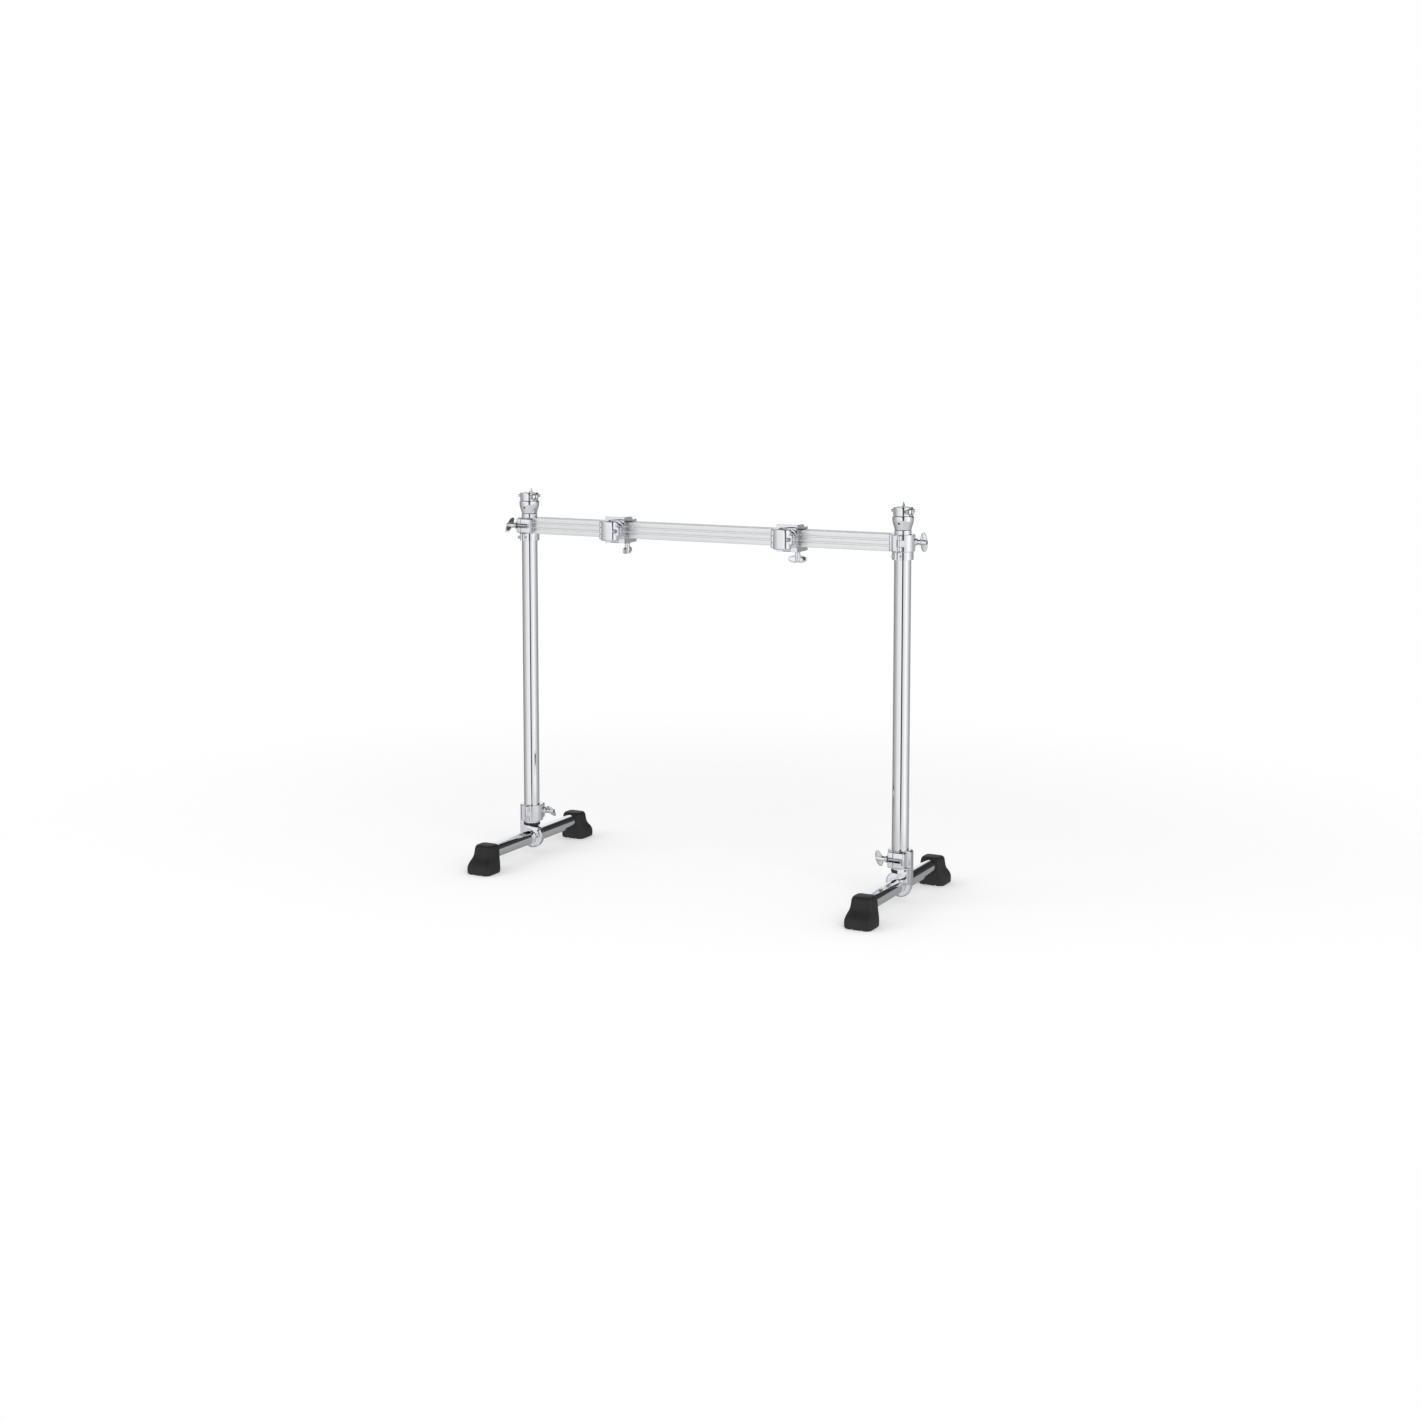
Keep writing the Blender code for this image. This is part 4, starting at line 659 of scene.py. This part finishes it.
def swing_half(length):
    """The collar's jaw, with its tongue between the ears and its forked lug."""
    half = length / 2
    made = cut(lugged(half, -0.0036, 0.0175, 0.03305),
               block((-FAR, -FAR, -half - 0.01), (SPLIT_SWING, FAR, half + 0.01)),
               block((0.0174, 0.01755, -FAR), (FAR, FAR, FAR)),
               upright(KNUCKLE_RADIUS + KNUCKLE_GAP, *COLLAR_HINGE, -length, -TONGUE_HALF, 0, 48),
               upright(KNUCKLE_RADIUS + KNUCKLE_GAP, *COLLAR_HINGE, TONGUE_HALF, length, 0, 48))
    made = knuckled(made, TONGUE_HALF - 0.0001, 0.0034, 0.014, 0.0003)
    return cut(made, upright(COLLAR_BORE, 0, 0, -length, length, 0, 96),
               block((-FAR, BOLT_LINE - SLOT_HALF, -SLOT_HALF), (FAR, FAR, SLOT_HALF)),
               upright(PIN_HOLE, *COLLAR_HINGE, -length, length, 0, 32))


def foot_spot(sign, height):
    """A place over a foot. The right casting is the left one turned half round."""
    half_turn = Matrix.Rotation(0.0 if sign < 0 else math.pi, 4, "Z")
    return shift(sign * HALF_SPACING, 0, height) @ half_turn


# Outlines round the foot tube: the spine's strap, the ring's section and the lobe that carries the grub screw
RING = 0.0287
across = shift(0, 0, FOOT_TUBE_HEIGHT) @ quarter_turn("X")
strap = [(-RING, 0.0796), (-RING, 0.0040), (-0.0262, -0.0080), (-0.0160, -0.0200), (0.0061, -0.0200),
         (0.0061, 0.0262), (-0.0040, 0.0275), (-0.0120, 0.0298), (-0.0180, 0.0345), (-0.0202, 0.0420),
         (-0.0202, 0.0796)]
strap = placed(plate(eased(strap, 0.004, 5), -0.0094, 0.0094, 0.0014, 4), across)
rim = [(0.0, 0.0098), (0.0188, 0.0098), (0.0215, 0.0093), (0.0245, 0.0078), (0.0268, 0.0056), (0.0282, 0.0028)]
hoop = placed(turned([*[(radius, -z) for radius, z in rim], (RING, 0.0), *reversed(rim)]), across)
lobe = [(-0.0043, -0.0253), (0.0200, -0.0225), (0.0295, -0.0100), (0.0316, 0.0), (0.0310, 0.0110),
        (0.0262, 0.0205), (0.0180, 0.0262), (0.0080, 0.0285), (-0.0043, 0.0284)]
lobe = placed(domed(eased(lobe, 0.006, 6), (0.010, 0.002), 0.0091, 0.0045, 0.021), across)
# The web under the bolt's lug, as (y, z), stood up so that its thickness runs along X
web = [(0.004, 0.0896), (0.004, 0.0445), (0.0100, 0.0482), (0.0112, 0.049), (0.0168, 0.0505), (0.0216, 0.0545),
       (0.0248, 0.0600), (0.02565, 0.0660), (0.02565, 0.0896)]
facing_x = Matrix(((0, 0, 1, 0), (1, 0, 0, 0), (0, 1, 0, 0), (0, 0, 0, 1)))
web = placed(plate(eased(web, 0.004, 5), -0.0284, -0.004, 0.0009, 3), facing_x)

GRUB_RADIUS, GRUB_EDGE = 0.0023, 0.0003
GRUB_X, GRUB_Z = 0.0225, 0.0620
lower = cut(joined(strap, hoop, lobe, web),
            upright(0.0205, 0, 0, 0.07415, 0.0866, 0, 96),
            upright(COLLAR_BORE + 0.0002, 0, 0, 0.0851, FAR, 0, 96),
            rod(0.0178, (0, -FAR, FOOT_TUBE_HEIGHT), (0, FAR, FOOT_TUBE_HEIGHT), 0, 96),
            block((-0.001, -FAR, -FAR), (0.001, FAR, 0.03625)),
            rod(0.0024, (GRUB_X, -FAR, GRUB_Z), (GRUB_X, -0.004, GRUB_Z), 0, 32))
body = one_mesh(placed(fixed_half(TEE_LENGTH), shift(0, 0, TEE_HEIGHT)), lower)
jaw = swing_half(TEE_LENGTH)
grub = rod(GRUB_RADIUS, (GRUB_X, -0.0080, GRUB_Z), (GRUB_X, -0.0042, GRUB_Z), GRUB_EDGE, 32)
for side, sign in SIDES:
    foot = foot_spot(sign, 0)
    casting(f"{side}_tee_body", f"{side}_tee_casting", placed(body, foot))
    casting(f"{side}_tee_jaw", f"{side}_tee_jaw_casting", placed(jaw, foot_spot(sign, TEE_HEIGHT)))
    low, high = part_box(f"{side}_tee_hinge_pin")
    pin = upright(PIN_RADIUS, *COLLAR_HINGE, low.z, high.z, PIN_EDGE, 32)
    zinced(f"{side}_tee_hinge_pin", f"{side}_tee_pin", placed(pin, foot))
    carried(f"{side}_tee_grub_screw", placed(grub, foot),
            frame["nodes"][f"{side}_tee_body"]["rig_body"], blackened)


# Swing bolts
# Zinc plated eye bolts, cold headed: a cross head that turns in the casting's pocket and an 8 mm shank with a rolled
# thread. Each lies in the slots of its collar or clamp.
THREAD_PITCH = 0.00125
CREST_RADIUS = 0.55 * THREAD_PITCH
thread, given = new_tree("rolled_thread", "Length", "Radius")
turns = add(thread, "ShaderNodeMath", {0: given.outputs["Length"]}, operation="DIVIDE")
turns.inputs[1].default_value = THREAD_PITCH
inset = add(thread, "ShaderNodeMath", {0: given.outputs["Radius"]}, operation="SUBTRACT")
inset.inputs[1].default_value = CREST_RADIUS
spiral = add(thread, "GeometryNodeCurveSpiral", {
    "Rotations": turns.outputs[0], "Start Radius": inset.outputs[0], "End Radius": inset.outputs[0],
    "Height": given.outputs["Length"]}, Resolution=18)
crest = add(thread, "GeometryNodeCurvePrimitiveCircle", Resolution=3, Radius=CREST_RADIUS)
ridge = add(thread, "GeometryNodeCurveToMesh", {"Curve": spiral.outputs[0], "Profile Curve": crest.outputs[0]},
            Fill_Caps=True)
end_tree(thread, ridge.outputs[0], zinc)


def threaded(radius, start, end):
    """A screw thread along X between two places, round its core."""
    ridge = grown(thread, Length=end - start, Radius=radius)
    ridge.transform(towards((start, 0, 0), (end, 0, 0)))
    core = rod(radius - 0.45 * THREAD_PITCH, (start - 0.0005, 0, 0), (end + 0.0003, 0, 0), 0.0004, 40)
    return one_mesh(ridge, core)


HEAD_RADIUS, SHANK_RADIUS, THREAD_RADIUS = 0.005, 0.0039, 0.004


def eye_bolt(reach, head, thread_start):
    """Its head's middle at the origin and its shank along X."""
    cross = rod(HEAD_RADIUS, (0, 0, -head / 2), (0, 0, head / 2), 0.0006, 48)
    shank = rod(SHANK_RADIUS, (0, 0, 0), (thread_start, 0, 0), 0.0, 48)
    return one_mesh(joined(cross, shank), threaded(THREAD_RADIUS, thread_start, reach - 0.0006))


BAR_HEIGHT = 0.81235


def bar_spot(sign):
    """A post's place at the bar's height. The left bar end is the right one turned half round."""
    half_turn = Matrix.Rotation(math.pi if sign < 0 else 0.0, 4, "Z")
    return shift(sign * HALF_SPACING, 0, BAR_HEIGHT) @ half_turn


low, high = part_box("left_tee_bolt")
collar_bolt = eye_bolt(high.x - low.x - HEAD_RADIUS, 0.024, 0.030)
low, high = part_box("left_clamp_bolt")
clamp_bolt = eye_bolt(high.z - low.z - HEAD_RADIUS, 0.022, 0.034)
for side, sign in SIDES:
    for group, spot in (("tee", foot_spot(sign, TEE_HEIGHT)), ("bar", bar_spot(sign))):
        pivot = spot @ shift(-BOLT_SETBACK, BOLT_LINE, 0)
        zinced(f"{side}_{group}_bolt", f"{side}_{group}_eye_bolt", placed(collar_bolt, pivot))
    low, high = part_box(f"{side}_clamp_bolt")
    pivot = shift((low.x + high.x) / 2, (low.y + high.y) / 2, high.z - HEAD_RADIUS)
    zinced(f"{side}_clamp_bolt", f"{side}_clamp_eye_bolt", placed(clamp_bolt, pivot @ quarter_turn("Y")))


# Wing nuts
# Forged and chrome plated: a round flange and a tapering hub with one broad oval wing across it. Each runs on its
# swing bolt and presses on the forked lug.
WING_CENTRE, WING_REACH, WING_HALF = 0.0207, 0.0087, 0.0218
LENS = ((0.0024, 0.20), (0.00232, 0.45), (0.0021, 0.68), (0.0017, 0.86), (0.0010, 0.965), (0.0003, 1.0))
rings = []
for height, share in (*[(-h, s) for h, s in LENS], *reversed(LENS)):
    ring = []
    for i in range(64):
        x, y = math.cos(math.pi * i / 32), math.sin(math.pi * i / 32)
        ring.append((WING_CENTRE + share * WING_REACH * math.copysign(abs(x) ** 0.9, x),
                     share * WING_HALF * math.copysign(abs(y) ** 0.92, y), height))
    rings.append(ring)
wings = placed(loft(rings), quarter_turn("X"))
profile = [(0.0, 0.0), (0.0080, 0.0), (0.0080, 0.0034), (0.0074, 0.0042), (0.0060, 0.0052), (0.0056, 0.0085),
           (0.0064, 0.0115), (0.0064, 0.0160), (0.0058, 0.0250), (0.0052, 0.0280), (0.0, 0.0280)]
hub = placed(turned(profile, 64), towards((0, 0, 0), (1, 0, 0)))
nut = cut(joined(hub, wings), rod(0.0043, (-0.01, 0, 0), (FAR, 0, 0)))
NUT_SEAT = 0.01825
# How far each nut happens to be turned in the photograph, in degrees
spins = {"left_tee": 45, "right_tee": -25, "left_bar": 38, "right_bar": 7, "left_clamp": -90, "right_clamp": -19}
for side, sign in SIDES:
    low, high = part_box(f"{side}_clamp_wing_nut")
    bolt_low, bolt_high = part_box(f"{side}_clamp_bolt")
    under = shift((bolt_low.x + bolt_high.x) / 2, (bolt_low.y + bolt_high.y) / 2, high.z)
    for group, seat in (("tee", foot_spot(sign, TEE_HEIGHT) @ shift(NUT_SEAT, BOLT_LINE, 0)),
                        ("bar", bar_spot(sign) @ shift(NUT_SEAT, BOLT_LINE, 0)),
                        ("clamp", under @ quarter_turn("Y"))):
        spin = Matrix.Rotation(math.radians(spins[f"{side}_{group}"]), 4, "X")
        casting(f"{side}_{group}_wing_nut", f"{side}_{group}_butterfly_nut", placed(nut, seat @ spin))


# Posts
# Straight drawn steel tubes, chrome plated. Each stands in its tee clamp on a black nylon end plug that is pushed
# into the tube up to its flange.
POST_DIAMETER = 0.0381
PLUG_BORE, PLUG_RADIUS = 0.01425, 0.01725
FLANGE_RADIUS, FLANGE_HEIGHT = 0.0199, 0.006
nylon, tree = new_material("moulded_black_nylon")
# Injection moulded: an even near black with a satin skin and a fine spark grain
place = add(tree, "ShaderNodeTexCoord").outputs["Object"]
grain = noise(tree, place, 1100.0, 2.0)
bump = add(tree, "ShaderNodeBump", {"Height": grain}, Strength=0.3, Distance=0.0001)
surface(tree, {"Roughness": spread(tree, grain, 0.38, 0.52), "Normal": bump.outputs[0]},
        Base_Color=colour("#161617"), IOR=1.53)
for side, sign in SIDES:
    low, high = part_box(f"{side}_post")
    mesh = grown(drawn_tube, Length=high.z - low.z, Diameter=POST_DIAMETER, Wall=TUBE_WALL)
    mesh.transform(Matrix.Translation((low + high) / 2))
    stands_for(f"{side}_post", f"{side}_post_drawn", mesh)
    low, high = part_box(f"{side}_post_plug")
    profile = [(PLUG_BORE, high.z), (PLUG_RADIUS, high.z), (PLUG_RADIUS, low.z + FLANGE_HEIGHT),
               (FLANGE_RADIUS, low.z + FLANGE_HEIGHT), (FLANGE_RADIUS, low.z), (PLUG_BORE, low.z)]
    plug = placed(turned(eased(profile, 0.0006, 2)), shift(sign * HALF_SPACING, 0, 0))
    stands_for(f"{side}_post_plug", f"{side}_nylon_plug", plug, nylon)


# Memory locks
# Split collars, cast and chrome plated, drawn tight on the post under the bar end with a square-headed zinc plated
# bolt. The solid's own shape is kept, with its facets joined up.
def refined(node, name):
    """A solid's own shape with its triangles joined up again, for a smooth finish."""
    work = bmesh.new()
    work.from_mesh(frame["nodes"][node].data)
    bmesh.ops.remove_doubles(work, verts=work.verts, dist=1e-6)
    bmesh.ops.dissolve_limit(work, angle_limit=math.radians(1), verts=work.verts, edges=work.edges)
    bmesh.ops.dissolve_degenerate(work, dist=1e-6, edges=work.edges)
    return casting(node, name, to_mesh(work))


HEAD_LENGTH, HEAD_HALF = 0.0076, 0.0032
SCREW_RADIUS, SCREW_HOLE = 0.0025, 0.0028


def square_bolt(reach):
    """Its seat at the origin, its square head towards -X and its thread along X."""
    washer = rod(0.0046, (-0.0016, 0, 0), (0, 0, 0), 0.0003, 40)
    head = block((-HEAD_LENGTH, -HEAD_HALF, -HEAD_HALF), (-0.0012, HEAD_HALF, HEAD_HALF), 0.0005, 2)
    return one_mesh(washer, head, threaded(SCREW_RADIUS, 0.0001, reach - 0.0004))


for side, sign in SIDES:
    refined(f"{side}_memory_lock", f"{side}_lock_collar")
    low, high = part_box(f"{side}_memory_lock_bolt")
    seat = shift(low.x + HEAD_LENGTH, (low.y + high.y) / 2, (low.z + high.z) / 2)
    zinced(f"{side}_memory_lock_bolt", f"{side}_lock_bolt", placed(square_bolt(high.x - low.x - HEAD_LENGTH), seat))


# Top holders
# A chrome plated, goblet-shaped casting on the post's top with a split ring on it: a lug and bolt at the right front,
# two round studs on its sides, a small upright tab at the back, and a grub screw in the goblet's front.
BORE = 0.013
goblet = [(BORE, -0.028), (0.01725, -0.028), (0.01725, 0.0003), (0.0178, 0.0003), (0.0188, 0.0010),
          (0.0193, 0.0035), (0.0201, 0.0068), (0.0214, 0.0110), (0.0227, 0.0150), (0.0236, 0.0190),
          (0.0241, 0.0230), (0.0241, 0.0285), (0.0237, 0.0303), (0.0228, 0.0313), (BORE + 0.0008, 0.0313),
          (BORE, 0.0305)]
GRUB_HEIGHT = 0.0155
screw_hole = rod(GRUB_RADIUS, (0, -FAR, GRUB_HEIGHT), (0, 0, GRUB_HEIGHT), 0.0, 32)
goblet = cut(turned(eased(goblet, 0.0007, 2)), screw_hole)
hexagon = placed(turned([(0, 0), (0.0011, 0), (0.0011, 0.003), (0, 0.003)], 6),
                 towards((0, -0.0190, GRUB_HEIGHT), (0, -0.0160, GRUB_HEIGHT)))
grub = cut(rod(0.00225, (0, -0.0185, GRUB_HEIGHT), (0, -0.0135, GRUB_HEIGHT), GRUB_EDGE, 32), hexagon)

RING_HEIGHT, RING_RADIUS = 0.0197, 0.0222
LUG_TURN, STUD_TURN, TAB_TURN = math.radians(-27), math.radians(28), math.radians(110)
LUG_HALF, LUG_REACH = 0.0065, 0.0290
RING_BOLT_LINE = 0.0258
band = turned(eased([(BORE, 0), (RING_RADIUS, 0), (RING_RADIUS, 0.0165), (0.0210, RING_HEIGHT),
                     (BORE, RING_HEIGHT)], 0.0007, 3))
lug = [(BORE + 0.003, -LUG_HALF), (LUG_REACH, -LUG_HALF), (LUG_REACH, LUG_HALF), (BORE + 0.003, LUG_HALF)]
lug = placed(plate(eased(lug, 0.005, 8), -0.0075, 0.0075, 0.001), shift(0, 0, RING_HEIGHT / 2) @ quarter_turn("X"))
neck = [(0, 0.018), (0.0022, 0.018), (0.0022, 0.0228), (0.0034, 0.0228), (0.0034, 0.0252), (0.0026, 0.0264),
        (0, 0.0268)]
studs = []
for turn in (0, math.pi):
    axis = Matrix.Rotation(STUD_TURN + turn, 4, "Z") @ shift(0, 0, 0.0120)
    studs.append(placed(placed(turned(neck, 32), quarter_turn("Y")), axis))
tab = [(-0.0038, 0.0), (0.0038, 0.0), (0.0030, 0.0060), (0.0016, 0.0110), (-0.0016, 0.0110), (-0.0030, 0.0060)]
tab = placed(plate(eased(tab, 0.0014, 4), -0.0013, 0.0013, 0.0005), quarter_turn("X"))
tab = placed(tab, Matrix.Rotation(TAB_TURN - math.pi / 2, 4, "Z") @ shift(0, 0.0180, RING_HEIGHT - 0.002))
turn = Matrix.Rotation(LUG_TURN, 4, "Z")
slit = placed(block((0, -0.001, -0.01), (FAR, 0.001, 0.05)), turn)
bolt_hole = rod(SCREW_HOLE, (RING_BOLT_LINE, -FAR, RING_HEIGHT / 2), (RING_BOLT_LINE, FAR, RING_HEIGHT / 2), 0.0, 32)
band = cut(joined(band, placed(lug, turn), tab, *studs), slit, placed(bolt_hole, turn))
for side, sign in SIDES:
    low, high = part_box(f"{side}_post")
    top = shift(sign * HALF_SPACING, 0, high.z)
    casting(f"{side}_holder_bowl", f"{side}_holder_goblet", placed(goblet, top))
    carried(f"{side}_holder_grub_screw", placed(grub, top),
            frame["nodes"][f"{side}_holder_bowl"]["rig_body"], blackened)
    low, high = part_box(f"{side}_holder_ring")
    rest = shift(sign * HALF_SPACING, 0, low.z)
    casting(f"{side}_holder_ring", f"{side}_holder_band", placed(band, rest))
    seat = rest @ turn @ shift(RING_BOLT_LINE, -0.0078, RING_HEIGHT / 2)
    zinced(f"{side}_holder_bolt", f"{side}_holder_ring_bolt", placed(square_bolt(0.018), seat @ quarter_turn("Z")))


# The bar
# A square aluminium extrusion with two shallow grooves along each face, etched and anodised to an even satin. Its
# hollow takes the bar ends' plugs.
satin, tree = new_material("satin_anodised_aluminium")
# Die lines run the length of the bar, drawn about 0.8 mm apart so that they show, and the anodising clouds slightly
place = add(tree, "ShaderNodeTexCoord").outputs["Object"]
along = add(tree, "ShaderNodeMapping", {"Vector": place}, Scale=(0.02, 1.0, 1.0)).outputs[0]
lines = noise(tree, along, 1250.0, 3.0)
clouds = noise(tree, place, 14.0, 3.0)
tone = add(tree, "ShaderNodeMixRGB", {"Fac": clouds}, Color1=colour("#E7E8E9"), Color2=colour("#F1F2F3"))
edge = add(tree, "ShaderNodeBevel", Radius=0.0004, samples=4)
bump = add(tree, "ShaderNodeBump", {"Height": lines, "Normal": edge.outputs[0]}, Strength=0.25, Distance=0.00004)
surface(tree, {"Base Color": tone.outputs[0], "Roughness": spread(tree, lines, 0.26, 0.40),
               "Normal": bump.outputs[0]}, Metallic=1.0)
HALF_BAR, HALF_HOLLOW, BAR_CORNER = 0.01905, 0.0166, 0.0012
GROOVE_LINE, GROOVE_TOP, GROOVE_FLOOR, GROOVE_DEPTH = 0.0062, 0.0025, 0.00125, 0.0008
face = []
for centre in (-GROOVE_LINE, GROOVE_LINE):
    face += [(centre - GROOVE_TOP, HALF_BAR), (centre - GROOVE_FLOOR, HALF_BAR - GROOVE_DEPTH),
             (centre + GROOVE_FLOOR, HALF_BAR - GROOVE_DEPTH), (centre + GROOVE_TOP, HALF_BAR)]
face.append((HALF_BAR, HALF_BAR))
outline = []
for quarter in range(4):
    turn = Matrix.Rotation(-quarter * math.pi / 2, 2)
    outline += [tuple(turn @ Vector(point)) for point in face]
low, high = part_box("bar")
stretch = plate(eased(outline, BAR_CORNER, 4), low.x, high.x)
stretch = cut(stretch, block((-HALF_HOLLOW, -HALF_HOLLOW, -1), (HALF_HOLLOW, HALF_HOLLOW, 1)))
stretch.transform(shift(0, 0, BAR_HEIGHT) @ quarter_turn("Y"))
stands_for("bar", "bar_extrusion", stretch, satin)


# Bar ends
# Chrome plated castings: a bracket whose stem is pushed into the bar up to its square shoulder, and a hinged jaw
# round the post on a zinc plated pin.
STEM_HALF, SHOULDER_HALF = 0.01625, 0.01885
stem = block((-0.074, -STEM_HALF, -STEM_HALF), (-0.020, STEM_HALF, STEM_HALF), 0.0008, 2)
shoulder = block((-0.024, -SHOULDER_HALF, -SHOULDER_HALF), (0.0, SHOULDER_HALF, SHOULDER_HALF), 0.0012, 3)
bracket = fixed_half(2 * HALF_BAR, (shoulder, stem), 0.0237)
jaw = swing_half(2 * HALF_BAR)
for side, sign in SIDES:
    spot = bar_spot(sign)
    casting(f"{side}_bar_bracket", f"{side}_bracket_casting", placed(bracket, spot))
    casting(f"{side}_bar_jaw", f"{side}_bar_jaw_casting", placed(jaw, spot))
    low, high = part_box(f"{side}_bar_hinge_pin")
    pin = upright(PIN_RADIUS, *COLLAR_HINGE, low.z - BAR_HEIGHT, high.z - BAR_HEIGHT, PIN_EDGE, 32)
    zinced(f"{side}_bar_hinge_pin", f"{side}_bar_pin", placed(pin, spot))


# Bar clamps
# Chrome plated castings hooked over the bar: a web and top flange, and a lower flange hinged to it at the front on a
# zinc plated pin. The solids' own shapes are kept, with their facets joined up.
for side, sign in SIDES:
    refined(f"{side}_clamp_body", f"{side}_clamp_casting")
    refined(f"{side}_clamp_jaw", f"{side}_clamp_jaw_casting")
    low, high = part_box(f"{side}_clamp_hinge_pin")
    line = (low + high) / 2
    pin = rod(PIN_RADIUS, (low.x, line.y, line.z), (high.x, line.y, line.z), PIN_EDGE, 32)
    zinced(f"{side}_clamp_hinge_pin", f"{side}_clamp_pin", pin)


# Tube holders
# Chrome plated castings: a base that turns on the clamp's web and a domed cap hinged to it on a zinc plated pin. A
# square-headed bolt draws them together round the tube.
HOLDER_LINE, HOLDER_BACK = -0.0507, -0.0312
HOLDER_HALF, HOLDER_TALL, HOLDER_CORNER = 0.0215, 0.023, 0.013
HINGE_X, CLOSER_X = -0.024, 0.0195
BARREL_RADIUS, BARREL_GAP, BARREL_EDGE = 0.0058, 0.0006, 0.0016
SPLIT_HALF = 0.0005
CAP_SEAT = -0.06186


def barrel(low, high, extra=0.0, edge=BARREL_EDGE):
    return upright(BARREL_RADIUS + extra, HINGE_X, HOLDER_LINE, low, high, edge, 48)


def standing(outline, front, back, edge):
    """An (x, z) outline between two depths, with its rims rounded."""
    return placed(plate(outline, -back, -front, edge, 3), quarter_turn("X"))


bore = upright(BORE, 0, HOLDER_LINE, -FAR, FAR, 0, 96)
pin_hole = upright(PIN_HOLE, HINGE_X, HOLDER_LINE, -FAR, FAR, 0, 32)
lug = eased([(0.0155, -0.011), (0.0275, -0.011), (0.0275, 0.011), (0.0155, 0.011)], 0.004, 5)
outline = rounded(-HOLDER_HALF, HOLDER_HALF, -HOLDER_TALL, HOLDER_TALL, HOLDER_CORNER, 8)
base = joined(standing(outline, HOLDER_LINE + SPLIT_HALF, HOLDER_BACK, 0.0016),
              rod(0.008, (0, HOLDER_BACK - 0.002, 0), (0, HOLDER_BACK + 0.0095, 0), 0.0005),
              standing(lug, HOLDER_LINE + SPLIT_HALF, HOLDER_BACK - 0.003, 0.0010))
base = cut(base, barrel(0.0075, FAR, BARREL_GAP, 0), barrel(-FAR, -0.0075, BARREL_GAP, 0))
base = joined(base, barrel(-0.0074, 0.0074))
base = cut(base, bore, pin_hole, rod(SCREW_HOLE, (CLOSER_X, HOLDER_LINE, 0), (CLOSER_X, HOLDER_LINE + 0.0123, 0)))
dome = []
for i in range(49):
    x, y = math.cos(math.pi * i / 48), math.sin(math.pi * i / 48)
    dome.append((HOLDER_HALF * math.copysign(abs(x) ** 0.78, x), HOLDER_LINE - SPLIT_HALF - 0.0175 * y ** 0.72))
dome = domed(dome, (0, HOLDER_LINE - 0.006), HOLDER_TALL, 0.0034, 0.0175)
cap = joined(dome, standing(lug, CAP_SEAT, HOLDER_LINE - SPLIT_HALF, 0.0010))
cap = cut(cap, barrel(-0.0078, 0.0078, BARREL_GAP, 0))
cap = joined(cap, barrel(0.0079, 0.021), barrel(-0.021, -0.0079))
cap = cut(cap, bore, pin_hole, rod(SCREW_HOLE, (CLOSER_X, -FAR, 0), (CLOSER_X, 0, 0)),
          rod(0.0052, (CLOSER_X, -FAR, 0), (CLOSER_X, CAP_SEAT, 0)))
for side, place_x in (("left", -0.230), ("right", 0.219)):
    spot = shift(place_x, 0, BAR_HEIGHT)
    casting(f"{side}_tube_holder_base", f"{side}_holder_base_casting", placed(base, spot))
    casting(f"{side}_tube_holder_cap", f"{side}_holder_cap_casting", placed(cap, spot))
    low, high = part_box(f"{side}_tube_holder_pin")
    line = (low + high) / 2
    pin = upright(PIN_RADIUS, line.x, line.y, low.z, high.z, PIN_EDGE, 32)
    zinced(f"{side}_tube_holder_pin", f"{side}_tube_pin", pin)
    low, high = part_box(f"{side}_tube_holder_bolt")
    line = (low + high) / 2
    seat = shift(line.x, low.y + HEAD_LENGTH, line.z) @ quarter_turn("Z")
    bolt = placed(square_bolt(high.y - low.y - HEAD_LENGTH), seat)
    zinced(f"{side}_tube_holder_bolt", f"{side}_tube_bolt", bolt)


# Sizes of everything but the studio, and the end
low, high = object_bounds()
